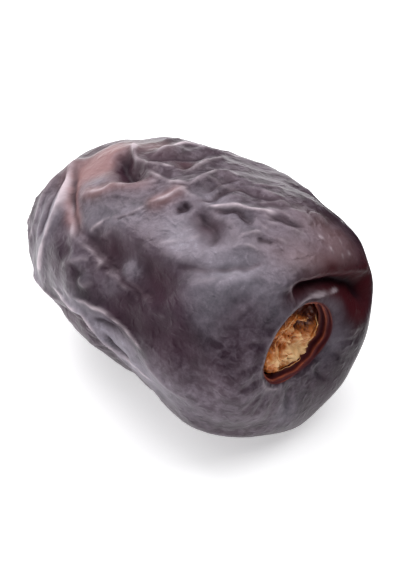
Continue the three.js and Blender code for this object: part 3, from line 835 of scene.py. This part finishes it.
    def build(self, finish: "DateSkin") -> bpy.types.Object:
        """Builds the skin grid, folds it, adds the fine wrinkles and flattens the underside.

        Args:
            finish: The skin's finish.

        Returns:
            The piece.
        """
        polar, round_ = np.meshgrid(
            BODY.rows(self.rows, self.hollow_share),
            np.linspace(0.0, 2.0 * math.pi, self.columns, endpoint=False),
            indexing="ij",
        )
        plain = BODY.points(polar, round_)
        normals = BODY.axes(np.maximum(polar, BODY.rim + 0.01), round_)[2]
        flat_points, flat_normals = plain.reshape(-1, 3), normals.reshape(-1, 3)
        height, marks = self.relief(flat_points, flat_normals, polar.ravel())
        folded = plain + normals * height.reshape(polar.shape)[..., None]
        ring_moves, husk = self.hollow_rings(polar, round_, plain)
        folded = folded + ring_moves
        folded_normals = grid_normals(folded)
        outside = smooth((polar - 0.95 * BODY.rim) / (0.1 * BODY.rim))
        above = smooth((folded[..., 2] - BODY.rest_level) / 0.8)
        smoother = marks["hollow"] + marks["shade"] + 0.6 * marks["blush"] + 0.65 * marks["bloom_and_highlight"]
        calm = 1.0 - 0.85 * np.clip(smoother, 0.0, 1.0)
        fine, fine_crests = self.fine_wrinkles(folded.reshape(-1, 3), folded_normals.reshape(-1, 3))
        fine, fine_crests = fine * calm, fine_crests * calm
        skin = folded + folded_normals * (fine.reshape(polar.shape) * outside * above)[..., None]
        skin[0] = skin[0, 0]
        skin[-1] = skin[-1, 0]
        skin[..., 2] = np.maximum(skin[..., 2], BODY.rest_level)
        self.fit = BoxFit.to_node(skin.reshape(-1, 3), "date_flesh")
        points, faces = closed_grid(self.fit.place(skin))
        piece = make_object(self.name, points, faces, finish.make())
        # dark red all over the stem hollow: the scar's own colour, deepened as painted shade in the hollow
        inside = 1.0 - smooth((polar - 0.93 * BODY.rim) / (0.1 * BODY.rim))
        marks["maroon"] = np.maximum(marks["maroon"], inside.ravel())
        # pale lines along the fine wrinkles' crests, partly painted highlight
        marks["crest"] = np.maximum(marks["crest"], fine_crests * outside.ravel())
        marks["husk"] = husk.ravel()
        marks["even"] = self.evenness(normals).ravel()
        # how sunk each point is, which the finish paints as shade in the creases
        marks["cavity"] = self.cavity(skin).ravel()
        for name, values in marks.items():
            on_grid = values.reshape(polar.shape)
            column = np.concatenate([on_grid[0, :1], on_grid[1:-1].ravel(), on_grid[-1, :1]])
            give_mark(piece, name, column)
        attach(piece, "root")
        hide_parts("date_flesh")
        return piece

    def cavity(self, skin: Array) -> Array:
        """How far each point lies below its neighbours: the mean of points a few rows and columns
        away, less the point, along its own outward direction, at two distances.

        Args:
            skin: The finished grid.

        Returns:
            0 on open skin to 1 in a deep crease.
        """
        normals = grid_normals(skin)
        total = np.zeros(skin.shape[:2])
        for reach, weight in ((2, 5.0), (5, 1.4)):
            padded = np.concatenate([np.repeat(skin[:1], reach, 0), skin, np.repeat(skin[-1:], reach, 0)])
            beside = np.roll(skin, reach, 1) + np.roll(skin, -reach, 1)
            around = beside + padded[: -2 * reach] + padded[2 * reach :]
            total += weight * np.sum((around / 4.0 - skin) * normals, axis=-1)
        return np.clip(total, 0.0, 1.0)


@dataclass
class StemFibre:
    """Dry stalk fibre in the stem hollow: a crumpled lump with loose strands over it."""

    height: float = 1.25
    spread: float = 0.96
    seat_gap: float = 0.3
    rows: int = 70
    columns: int = 150
    strands: int = 11
    strand_radius: float = 0.065

    def seat(self, across: Array, round_: Array) -> Array:
        """Places just over the hollow's floor; across is 0 in the middle and 1 at the lump's edge."""
        polar = across * self.spread * BODY.floor_rows * BODY.rim
        return BODY.points(polar, round_) + self.seat_gap * BODY.outward()

    def rise(self, across: Array, round_: Array) -> Array:
        """Height over the seat: a flat-topped dome, times slow lumps, leaning to one side, with
        crumpled papery creases on it.

        Args:
            across: 0 in the middle to 1 at the edge.
            round_: Angles round the hollow.

        Returns:
            Heights in millimetres.
        """
        slow = 0.16 * np.sin(3.0 * round_ + 5.0 * across) + 0.12 * np.sin(5.0 * round_ - 7.0 * across + 2.0)
        tilt = 1.0 + 0.2 * across * np.cos(round_ - 3.6)
        dome = np.sqrt(np.clip(1.0 - across**4, 0.0, 1.0))
        places = self.seat(across, round_)
        crumple = 0.7 * creased(noise(places, 1.8, 61), 2.0) + 0.4 * creased(noise(places, 0.85, 62), 2.0)
        fine = 0.08 * noise(places, 0.35, 63)
        return 0.15 + self.height * dome * (1.0 + slow) * tilt * 0.82 + (crumple - 0.4 + fine) * dome * 0.8

    def build_lump(self, finish: "DryFibre", fit: BoxFit) -> bpy.types.Object:
        """Builds the crumpled lump, out over its top and back along its seat.

        Args:
            finish: The fibre's finish.
            fit: How the fruit was set into its box.

        Returns:
            The piece.
        """
        out = self.rows * 2 // 3
        across_out, round_out = np.meshgrid(
            np.linspace(0.0, 1.0, out),
            np.linspace(0.0, 2.0 * math.pi, self.columns, endpoint=False),
            indexing="ij",
        )
        rise = self.rise(across_out, round_out)
        top = self.seat(across_out, round_out) + rise[..., None] * BODY.outward()
        across_back = np.linspace(1.0, 0.0, self.rows - out)[:, None]
        back = self.seat(across_back, round_out[:1])
        grid = np.concatenate([top, back])
        grid[0] = grid[0, 0]
        points, faces = closed_grid(fit.place(grid))
        piece = make_object("stem_fibre_lump", points, faces, finish.make())
        # painted light on the lump's colour: a bright spot left of the middle as painted highlight, and a
        # slope lighter on one side and darker on the other as painted shade
        away = np.hypot(across_out * np.cos(round_out) - 0.1, across_out * np.sin(round_out) + 0.62)
        lit = 0.12 * across_out * np.cos(round_out - 3.9) + 0.75 * np.exp(-((away / 0.4) ** 2)) - 0.06
        height = np.concatenate([rise / 2.0 + lit, np.zeros(back.shape[:2])])
        column = np.concatenate([height[0, :1], height[1:-1].ravel(), height[-1, :1]])
        give_mark(piece, "height", column)
        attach(piece, "root")
        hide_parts("stem_fibre")
        return piece

    def build_strands(self, finish: "DryFibre", fit: BoxFit) -> bpy.types.Object:
        """Builds loose strands that arch over the lump: four-sided tubes, thin at both ends.

        Args:
            finish: The fibre's finish.
            fit: How the fruit was set into its box.

        Returns:
            The piece.
        """
        rng = np.random.default_rng(71)
        n, steps, sides = self.strands, 14, 4
        u = np.linspace(0.0, 1.0, steps)[None, :]
        start = rng.uniform(0.0, 2.0 * math.pi, (n, 1))
        sweep = rng.uniform(0.5, 2.2, (n, 1)) * rng.choice([-1.0, 1.0], (n, 1))
        inner = rng.uniform(0.15, 0.9, (n, 1))
        outer = np.clip(inner + rng.uniform(-0.35, 0.25, (n, 1)), 0.1, 0.98)
        across = inner + (outer - inner) * u
        round_ = start + sweep * u
        lift = 0.06 + rng.uniform(0.0, 0.35, (n, 1)) * np.sin(math.pi * u)
        path = self.seat(across, round_) + (self.rise(across, round_) + lift)[..., None] * BODY.outward()
        ahead = unit(np.gradient(path, axis=1))
        side = unit(np.cross(ahead, BODY.outward()))
        up = np.cross(side, ahead)
        taper_to_ends = np.sin(math.pi * (0.04 + 0.92 * u)) ** 0.5
        thick = self.strand_radius * rng.uniform(0.6, 1.3, (n, 1)) * taper_to_ends
        angle = np.linspace(0.0, 2.0 * math.pi, sides, endpoint=False)
        ring = np.cos(angle)[:, None] * side[:, :, None, :] + np.sin(angle)[:, None] * up[:, :, None, :]
        points = path[:, :, None, :] + thick[:, :, None, None] * ring
        base = (np.arange(n)[:, None, None] * steps + np.arange(steps - 1)[None, :, None]) * sides
        j = np.arange(sides)[None, None, :]
        here, right = base + j, base + (j + 1) % sides
        quads = np.stack([here, right, right + sides, here + sides], axis=-1).reshape(-1, 4)
        first = np.arange(n)[:, None] * steps * sides
        far_end = first + (steps - 1) * sides
        caps = np.concatenate([first + np.arange(sides)[::-1], far_end + np.arange(sides)])
        placed = fit.place(points.reshape(-1, 3))
        piece = make_object("stem_fibre_strands", placed, [quads, caps], finish.make())
        give_mark(piece, "height", np.full(n * steps * sides, 0.72))
        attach(piece, "root")
        return piece


def linear(colour: str) -> tuple[float, float, float, float]:
    """Turns an sRGB hex colour into the linear values that a shader takes.

    Args:
        colour: A colour such as "#8d8693".

    Returns:
        Red, green, blue and 1.
    """
    parts = [int(colour[i : i + 2], 16) / 255.0 for i in (1, 3, 5)]
    low = [c / 12.92 if c <= 0.04045 else ((c + 0.055) / 1.055) ** 2.4 for c in parts]
    return (low[0], low[1], low[2], 1.0)


def add_node(tree: bpy.types.NodeTree, kind: str, settings: dict | None = None,
             links: dict | None = None) -> bpy.types.Node:
    """Adds one shader node.

    Args:
        tree: The material's node tree.
        kind: The node's type name.
        settings: Own properties by name, and values of input sockets by name or number.
        links: Output sockets to join to its inputs, by the input's name or number.

    Returns:
        The node.
    """
    node = tree.nodes.new(kind)
    for key, value in (settings or {}).items():
        if isinstance(key, str) and hasattr(node, key):
            setattr(node, key, value)
    for key, value in (settings or {}).items():
        if not (isinstance(key, str) and hasattr(node, key)):
            node.inputs[key].default_value = value
    for key, output in (links or {}).items():
        tree.links.new(output, node.inputs[key])
    return node


def new_material(name: str) -> tuple[bpy.types.Material, bpy.types.NodeTree, bpy.types.Node]:
    """Makes an empty material with its Principled shader and output joined.

    Args:
        name: The material's name.

    Returns:
        The material, its node tree and its Principled shader.
    """
    material = bpy.data.materials.new(name)
    material.use_nodes = True
    tree = material.node_tree
    tree.nodes.clear()
    shader = add_node(tree, "ShaderNodeBsdfPrincipled")
    add_node(tree, "ShaderNodeOutputMaterial", links={"Surface": shader.outputs[0]})
    return material, tree, shader


class MixSocket(Enum):
    """Socket numbers of the Mix node when it mixes colours."""

    FACTOR = 0
    FIRST = 6
    SECOND = 7
    RESULT = 2


def per_metre(millimetres: float) -> float:
    """A noise texture's scale for a pattern of that real size, on Object coordinates in metres."""
    return 1.0 / (millimetres * MM)


@dataclass(frozen=True)
class DateSkin:
    """Skin of a sun-dried date: thin, dark and wrinkled as the flesh shrank, under a dusty wax.

    The eye gets a satin gloss on the dark skin, a grey-lilac matt where the wax still lies, red
    where the skin is thin over the flesh, and pale dry edges along the sharp folds, partly painted
    highlight. Painted shade darkens the grooves, hollows and creases, and the wax bloom is partly
    painted highlight.
    """

    dark: str = "#180c16"
    middle: str = "#382532"
    film: str = "#726772"
    wax: str = "#adafbb"
    red: str = "#9a7372"
    # pale dry fold edges, partly painted highlight
    edge: str = "#cfc0c8"
    sheen: str = "#ffe6f4"
    # dark red of the stem hollow, partly painted shade
    deep: str = "#4a141c"
    # dark purple of painted shade in grooves and hollows
    groove: str = "#351c27"
    husk: str = "#a9583c"
    gloss: float = 0.33
    wax_grain: float = 0.28
    patch_size: float = 4.5
    streak_size: float = 1.1
    crinkle_size: float = 0.9
    pore_size: float = 0.22

    def make(self) -> bpy.types.Material:
        """Mixes the colours by the skin's own marks and fine noise, and roughens the waxy parts.

        Returns:
            The material.
        """
        material, tree, shader = new_material("sun-dried date skin with wax bloom")
        where = add_node(tree, "ShaderNodeTexCoord").outputs["Object"]
        marks = {
            name: add_node(tree, "ShaderNodeAttribute", {"attribute_name": name}).outputs["Fac"]
            for name in (*MARKS, "husk", "cavity", "even")
        }
        patches = add_node(tree, "ShaderNodeTexNoise",
                           {"Scale": per_metre(self.patch_size), "Detail": 5.0, "Roughness": 0.62},
                           {"Vector": where})
        streaks = add_node(tree, "ShaderNodeTexNoise",
                           {"Scale": per_metre(self.streak_size), "Detail": 4.0, "Roughness": 0.6,
                            "Distortion": 0.5}, {"Vector": where})
        grain = add_node(tree, "ShaderNodeTexNoise",
                         {"Scale": per_metre(self.wax_grain), "Detail": 3.0, "Roughness": 0.7},
                         {"Vector": where})
        crinkle = add_node(tree, "ShaderNodeTexNoise",
                           {"noise_type": "RIDGED_MULTIFRACTAL",
                            "Scale": per_metre(self.crinkle_size), "Detail": 3.0,
                            "Roughness": 0.5, "Lacunarity": 2.2, "Distortion": 0.6}, {"Vector": where})
        pores = add_node(tree, "ShaderNodeTexVoronoi",
                         {"Scale": per_metre(self.pore_size)}, {"Vector": where})
        tone = add_node(tree, "ShaderNodeMapRange", {1: 0.3, 2: 0.7}, {0: patches.outputs[0]})
        skin = self.mix(tree, tone.outputs[0], linear(self.dark), linear(self.middle))
        specks = add_node(tree, "ShaderNodeMapRange", {1: 0.38, 2: 0.62, 3: 0.72, 4: 1.0},
                          {0: grain.outputs[0]})
        # wax lies thicker on the fine crinkle ridges, which paints paler lines on them, partly as painted
        # highlight
        ribs = add_node(tree, "ShaderNodeMapRange", {1: 0.3, 2: 1.1, 3: 0.58, 4: 1.18},
                        {0: crinkle.outputs[0]})
        spread = add_node(tree, "ShaderNodeMapRange", {1: 0.36, 2: 0.72, 3: 0.0, 4: 0.3},
                          {0: patches.outputs[0]})
        drift = add_node(tree, "ShaderNodeMapRange", {1: 0.35, 2: 0.68, 3: -0.27, 4: 0.38},
                         {0: streaks.outputs[0]})
        drifted = self.less(tree, drift.outputs[0], marks["even"], 0.62)
        wax = add_node(tree, "ShaderNodeMath", {"operation": "ADD"}, {0: spread.outputs[0], 1: drifted})
        # the bloom mark thickens the wax: partly its own grey-lilac, partly painted highlight
        wax = add_node(tree, "ShaderNodeMath", {"operation": "MULTIPLY_ADD", 1: 0.6},
                       {0: marks["bloom_and_highlight"], 2: wax.outputs[0]})
        # less wax in hollows and creases, where the skin gets painted shade
        kept = self.less(tree, self.less(tree, wax.outputs[0], marks["hollow"], 0.85), marks["cavity"], 0.9)
        kept = self.less(tree, kept, marks["shade"], 0.9)
        dust = add_node(tree, "ShaderNodeMath", {"operation": "MULTIPLY"}, {0: kept, 1: specks.outputs[0]})
        dust = add_node(tree, "ShaderNodeMath", {"operation": "MULTIPLY", "use_clamp": True},
                        {0: dust.outputs[0], 1: ribs.outputs[0]})
        bare = self.less(tree, dust.outputs[0], marks["maroon"], 1.0)
        filmy = add_node(tree, "ShaderNodeMapRange", {1: 0.0, 2: 0.45}, {0: bare})
        thick = add_node(tree, "ShaderNodeMapRange", {1: 0.4, 2: 1.1, 3: 0.0, 4: 1.0}, {0: bare})
        skin = self.mix(tree, filmy.outputs[0], skin, linear(self.film))
        skin = self.mix(tree, thick.outputs[0], skin, linear(self.wax))
        # a smooth veil of wax colour by the bloom mark, partly painted highlight
        veil = self.less(tree, self.less(tree, marks["bloom_and_highlight"], marks["hollow"], 1.0), marks["shade"], 1.0)
        veil = add_node(tree, "ShaderNodeMath", {"operation": "MULTIPLY", 1: 0.26, "use_clamp": True},
                        {0: veil})
        skin = self.mix(tree, veil.outputs[0], skin, linear(self.wax))
        thin = add_node(tree, "ShaderNodeMath", {"operation": "MULTIPLY", 1: 0.75, "use_clamp": True},
                        {0: marks["blush"]})
        skin = self.mix(tree, thin.outputs[0], skin, linear(self.red))
        # dark red in the stem hollow and under its shoulder, partly painted shade, paler at the husk rings'
        # edges
        torn = self.mix(tree, marks["husk"], linear(self.deep), linear(self.husk))
        skin = self.mix(tree, marks["maroon"], skin, torn)
        # pale dry crests, partly painted highlight
        sharp = add_node(tree, "ShaderNodeMath", {"operation": "POWER", 1: 1.6}, {0: marks["crest"]})
        dry = add_node(tree, "ShaderNodeMath", {"operation": "MULTIPLY", 1: 0.75}, {0: sharp.outputs[0]})
        skin = self.mix(tree, dry.outputs[0], skin, linear(self.edge))
        # painted shade along the grooves
        line = add_node(tree, "ShaderNodeMath", {"operation": "MULTIPLY", 1: 0.65}, {0: marks["crease"]})
        skin = self.mix(tree, line.outputs[0], skin, linear(self.groove))
        # painted shade in hollows and pockets
        hollow_shade = add_node(tree, "ShaderNodeMath", {"operation": "MULTIPLY", 1: 0.75, "use_clamp": True},
                         {0: marks["hollow"]})
        skin = self.mix(tree, hollow_shade.outputs[0], skin, linear(self.groove))
        # painted shade in the creases, darker the deeper they sink
        sunk = add_node(tree, "ShaderNodeMath", {"operation": "MULTIPLY", 1: 0.75}, {0: marks["cavity"]})
        skin = self.mix(tree, sunk.outputs[0], skin, linear(self.dark))
        matt = add_node(tree, "ShaderNodeMath", {"operation": "MAXIMUM"}, {0: bare, 1: marks["cavity"]})
        matt = add_node(tree, "ShaderNodeMath", {"operation": "MAXIMUM"},
                        {0: matt.outputs[0], 1: marks["maroon"]})
        rough = add_node(tree, "ShaderNodeMapRange", {3: self.gloss, 4: 0.6}, {0: matt.outputs[0]})
        folded = add_node(tree, "ShaderNodeBump", {"Strength": 0.8, "Distance": 0.12 * MM},
                          {"Height": crinkle.outputs[0]})
        raised = add_node(tree, "ShaderNodeBump", {"Strength": 0.45, "Distance": 0.04 * MM},
                          {"Height": grain.outputs[0], "Normal": folded.outputs[0]})
        pitted = add_node(tree, "ShaderNodeBump", {"Strength": 0.3, "Distance": 0.03 * MM},
                          {"Height": pores.outputs[0], "Normal": raised.outputs[0]})
        tree.links.new(skin, shader.inputs["Base Color"])
        tree.links.new(rough.outputs[0], shader.inputs["Roughness"])
        tree.links.new(pitted.outputs[0], shader.inputs["Normal"])
        level = add_node(tree, "ShaderNodeMapRange", {3: 0.5, 4: 0.2}, {0: marks["shade"]})
        tree.links.new(level.outputs[0], shader.inputs["Specular IOR Level"])
        shader.inputs["IOR"].default_value = 1.4
        shader.inputs["Specular Tint"].default_value = linear(self.sheen)
        return material

    def mix(self, tree: bpy.types.NodeTree, share: bpy.types.NodeSocket, first: object,
            second: object) -> bpy.types.NodeSocket:
        """Mixes two colours, each a fixed colour or another node's result, by a share.

        Args:
            tree: The node tree.
            share: How much of the second.
            first: The first colour or socket.
            second: The second colour or socket.

        Returns:
            The mixed colour's socket.
        """
        settings, links = {"data_type": "RGBA"}, {MixSocket.FACTOR.value: share}
        for socket, colour in ((MixSocket.FIRST, first), (MixSocket.SECOND, second)):
            (settings if isinstance(colour, tuple) else links)[socket.value] = colour
        return add_node(tree, "ShaderNodeMix", settings, links).outputs[MixSocket.RESULT.value]

    def less(self, tree: bpy.types.NodeTree, value: bpy.types.NodeSocket, mark: bpy.types.NodeSocket,
             most: float) -> bpy.types.NodeSocket:
        """Takes a value down where a mark is high: the value times one minus most times the mark.

        Args:
            tree: The node tree.
            value: The value's socket.
            mark: The mark's socket.
            most: How much goes where the mark is full.

        Returns:
            The lowered value's socket.
        """
        keep = add_node(tree, "ShaderNodeMath",
                        {"operation": "MULTIPLY_ADD", 1: -most, 2: 1.0, "use_clamp": True},
                        {0: mark})
        return add_node(tree, "ShaderNodeMath", {"operation": "MULTIPLY"},
                        {0: value, 1: keep.outputs[0]}).outputs[0]


@dataclass(frozen=True)
class DryFibre:
    """Torn stalk fibre, dried in the sun: papery and golden, paler where it stands proud and
    brown where it is packed down, partly as painted highlight and painted shade, with a dull
    satin light on its folds."""

    # dark brown of packed-down fibre, partly painted shade
    low: str = "#541d08"
    body: str = "#d4782c"
    # cream of the proudest fibre, partly painted highlight
    high: str = "#ffd59c"
    fleck: float = 0.5

    def make(self) -> bpy.types.Material:
        """Ramps the colour by the height mark, which also carries painted highlight and painted shade, and
        by fine flecks.

        Returns:
            The material.
        """
        material, tree, shader = new_material("dry golden stalk fibre")
        where = add_node(tree, "ShaderNodeTexCoord").outputs["Object"]
        height = add_node(tree, "ShaderNodeAttribute", {"attribute_name": "height"}).outputs["Fac"]
        flecks = add_node(tree, "ShaderNodeTexNoise",
                          {"Scale": per_metre(self.fleck), "Detail": 5.0, "Roughness": 0.65},
                          {"Vector": where})
        mixed = add_node(tree, "ShaderNodeMath", {"operation": "MULTIPLY_ADD", 1: 0.9, 2: -0.45},
                         {0: flecks.outputs[0]})
        level = add_node(tree, "ShaderNodeMath", {"operation": "ADD", "use_clamp": True},
                         {0: height, 1: mixed.outputs[0]})
        ramp = add_node(tree, "ShaderNodeValToRGB", links={0: level.outputs[0]})
        stops = ramp.color_ramp.elements
        stops[0].position, stops[0].color = 0.3, linear(self.low)
        stops[1].position, stops[1].color = 0.9, linear(self.high)
        middle = stops.new(0.58)
        middle.color = linear(self.body)
        bump = add_node(tree, "ShaderNodeBump", {"Strength": 0.6, "Distance": 0.08 * MM},
                        {"Height": flecks.outputs[0]})
        tree.links.new(ramp.outputs[0], shader.inputs["Base Color"])
        tree.links.new(bump.outputs[0], shader.inputs["Normal"])
        shader.inputs["Roughness"].default_value = 0.42
        shader.inputs["IOR"].default_value = 1.5
        return material


@dataclass(frozen=True)
class WhitePaper:
    """Matt white sheet of a light table: it glows a little from below, so that shadows stay pale."""

    colour: str = "#f4f4f5"
    glow: float = 0.52

    def make(self) -> bpy.types.Material:
        """A plain matt surface with a faint tooth.

        Returns:
            The material.
        """
        material, tree, shader = new_material("matt white photo paper")
        where = add_node(tree, "ShaderNodeTexCoord").outputs["Object"]
        tooth = add_node(tree, "ShaderNodeTexNoise", {"Scale": per_metre(0.5)}, {"Vector": where})
        bump = add_node(tree, "ShaderNodeBump", {"Strength": 0.1, "Distance": 0.02 * MM},
                        {"Height": tooth.outputs[0]})
        tree.links.new(bump.outputs[0], shader.inputs["Normal"])
        shader.inputs["Base Color"].default_value = linear(self.colour)
        shader.inputs["Roughness"].default_value = 0.9
        shader.inputs["Emission Color"].default_value = linear(self.colour)
        shader.inputs["Emission Strength"].default_value = self.glow
        return material


@dataclass(frozen=True)
class DarkPaper:
    """Matt plum-black paper of the card beside the fruit."""

    colour: str = "#1a1014"

    def make(self) -> bpy.types.Material:
        """A plain matt surface.

        Returns:
            The material.
        """
        material, _, shader = new_material("matt plum-black paper")
        shader.inputs["Base Color"].default_value = linear(self.colour)
        shader.inputs["Roughness"].default_value = 0.95
        return material


@dataclass
class Studio:
    """The floor, the soft lights and the camera, which aren't part of the fruit."""

    azimuth: float = math.radians(45.0)
    elevation: float = math.radians(42.0)
    distance: float = 0.595
    view_height: float = 0.0554
    aim_right: float = -0.0008
    aim_up: float = -0.0003
    floor_half: float = 4.0
    card_height: float = 0.03
    sky_low: float = 0.1
    sky_high: float = 1.5

    def directions(self) -> tuple[Vector, Vector, Vector]:
        """Unit vectors back towards the camera, to its right and up in its picture."""
        a, e = self.azimuth, self.elevation
        back = Vector((math.sin(a) * math.cos(e), -math.cos(a) * math.cos(e), math.sin(e)))
        right = Vector((math.cos(a), math.sin(a), 0.0))
        return back, right, back.cross(right)

    def build_camera(self, middle: Vector) -> Vector:
        """A long lens that looks at the fruit from the photograph's angle.

        Args:
            middle: The fruit's own centre, in metres.

        Returns:
            The point that the camera looks at.
        """
        back, right, up = self.directions()
        aim = middle + right * self.aim_right + up * self.aim_up
        data = bpy.data.cameras.new("camera")
        camera = bpy.data.objects.new("camera", data)
        bpy.context.scene.collection.objects.link(camera)
        camera.location = aim + back * self.distance
        camera.rotation_mode = "QUATERNION"
        camera.rotation_quaternion = (-back).to_track_quat("-Z", "Y")
        data.sensor_width = 36.0
        data.lens = data.sensor_width * self.distance / self.view_height
        data.clip_start = 0.01
        data.clip_end = 50.0
        bpy.context.scene.camera = camera
        return aim

    def build_floor(self) -> bpy.types.Object:
        """A wide flat sheet under the fruit."""
        h = self.floor_half
        corners = np.array([[-h, -h, 0.0], [h, -h, 0.0], [h, h, 0.0], [-h, h, 0.0]])
        floor = make_object("floor", corners, [np.array([[0, 1, 2, 3]])], WhitePaper().make())
        return floor

    def build_dark_card(self, aim: Vector) -> bpy.types.Object:
        """A low curved card of dark paper to the fruit's right and behind it: the skin there mirrors
        something dark.

        Args:
            aim: The point that the camera looks at.

        Returns:
            The card, which the camera doesn't see and which casts no shadow.
        """
        _, right, _ = self.directions()
        away = Vector((-math.sin(self.azimuth), math.cos(self.azimuth), 0.0))
        bends = ((18.0, 26.0), (23.0, 17.0), (26.0, 2.0), (25.0, -12.0), (19.0, -24.0))
        feet = [aim + (right * across + away * behind) * MM for across, behind in bends]
        low = [(foot.x, foot.y, 0.0005) for foot in feet]
        high = [(foot.x, foot.y, self.card_height) for foot in feet]
        n = len(bends)
        faces = [[i, i + 1, n + i + 1, n + i] for i in range(n - 1)]
        card = make_object("dark card", np.array(low + high), [np.array(faces)], DarkPaper().make())
        card.visible_camera = False
        card.visible_shadow = False
        return card

    def build_lights(self, aim: Vector) -> None:
        """Soft boxes above and behind the fruit, and an even white sky.

        Args:
            aim: The point that the lights face.
        """
        world = bpy.data.worlds.new("white room")
        bpy.context.scene.world = world
        world.use_nodes = True
        tree = world.node_tree
        background = tree.nodes["Background"]
        background.inputs["Color"].default_value = (1.0, 1.0, 1.0, 1.0)
        _, right, _ = self.directions()
        away = Vector((-math.sin(self.azimuth), math.cos(self.azimuth), 0.0))
        up = Vector((0.0, 0.0, 1.0))
        bright_side = (up * 0.8 + away * 0.55 - right * 0.3).normalized()
        way = add_node(tree, "ShaderNodeTexCoord").outputs["Generated"]
        facing = add_node(tree, "ShaderNodeVectorMath", {"operation": "DOT_PRODUCT", 1: bright_side},
                          {0: way})
        level = add_node(tree, "ShaderNodeMapRange", {1: 0.25, 2: 1.0, 3: self.sky_low, 4: self.sky_high},
                         {0: facing.outputs["Value"]})
        seen = add_node(tree, "ShaderNodeLightPath").outputs["Is Camera Ray"]
        level = add_node(tree, "ShaderNodeMath", {"operation": "MAXIMUM"}, {0: level.outputs[0], 1: seen})
        tree.links.new(level.outputs[0], background.inputs["Strength"])
        boxes = (
            ("back left soft box", (-0.55, 0.95, 0.55), 0.5, 5.0),
            ("overhead soft box", (0.7, 1.1, 0.35), 1.2, 12.0),
            ("low left fill", (-1.1, 0.3, -0.2), 0.8, 2.1),
        )
        for name, (to_right, height, behind), size, power in boxes:
            data = bpy.data.lights.new(name, "AREA")
            data.size = size
            data.energy = power
            light = bpy.data.objects.new(name, data)
            bpy.context.scene.collection.objects.link(light)
            light.location = aim + right * to_right + up * height + away * behind
            light.rotation_mode = "QUATERNION"
            light.rotation_quaternion = (aim - light.location).to_track_quat("-Z", "Y")
            light.visible_camera = False


def main() -> None:
    """Builds the fruit and its fibre, logging each piece's faces, then the studio."""
    logging.basicConfig(level=logging.INFO, format="%(name)s: %(message)s")
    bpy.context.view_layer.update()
    bpy.context.scene.view_settings.view_transform = "Standard"
    flesh = DateFlesh()
    skin = flesh.build(DateSkin())
    LOG.info("%s: %d faces", skin.name, len(skin.data.polygons))
    fibre = StemFibre()
    for piece in (fibre.build_lump(DryFibre(), flesh.fit), fibre.build_strands(DryFibre(), flesh.fit)):
        LOG.info("%s: %d faces", piece.name, len(piece.data.polygons))
    studio = Studio()
    aim = studio.build_camera(Vector(flesh.fit.place(np.zeros(3))))
    studio.build_floor()
    studio.build_dark_card(aim)
    studio.build_lights(aim)


if __name__ == "__main__":
    main()
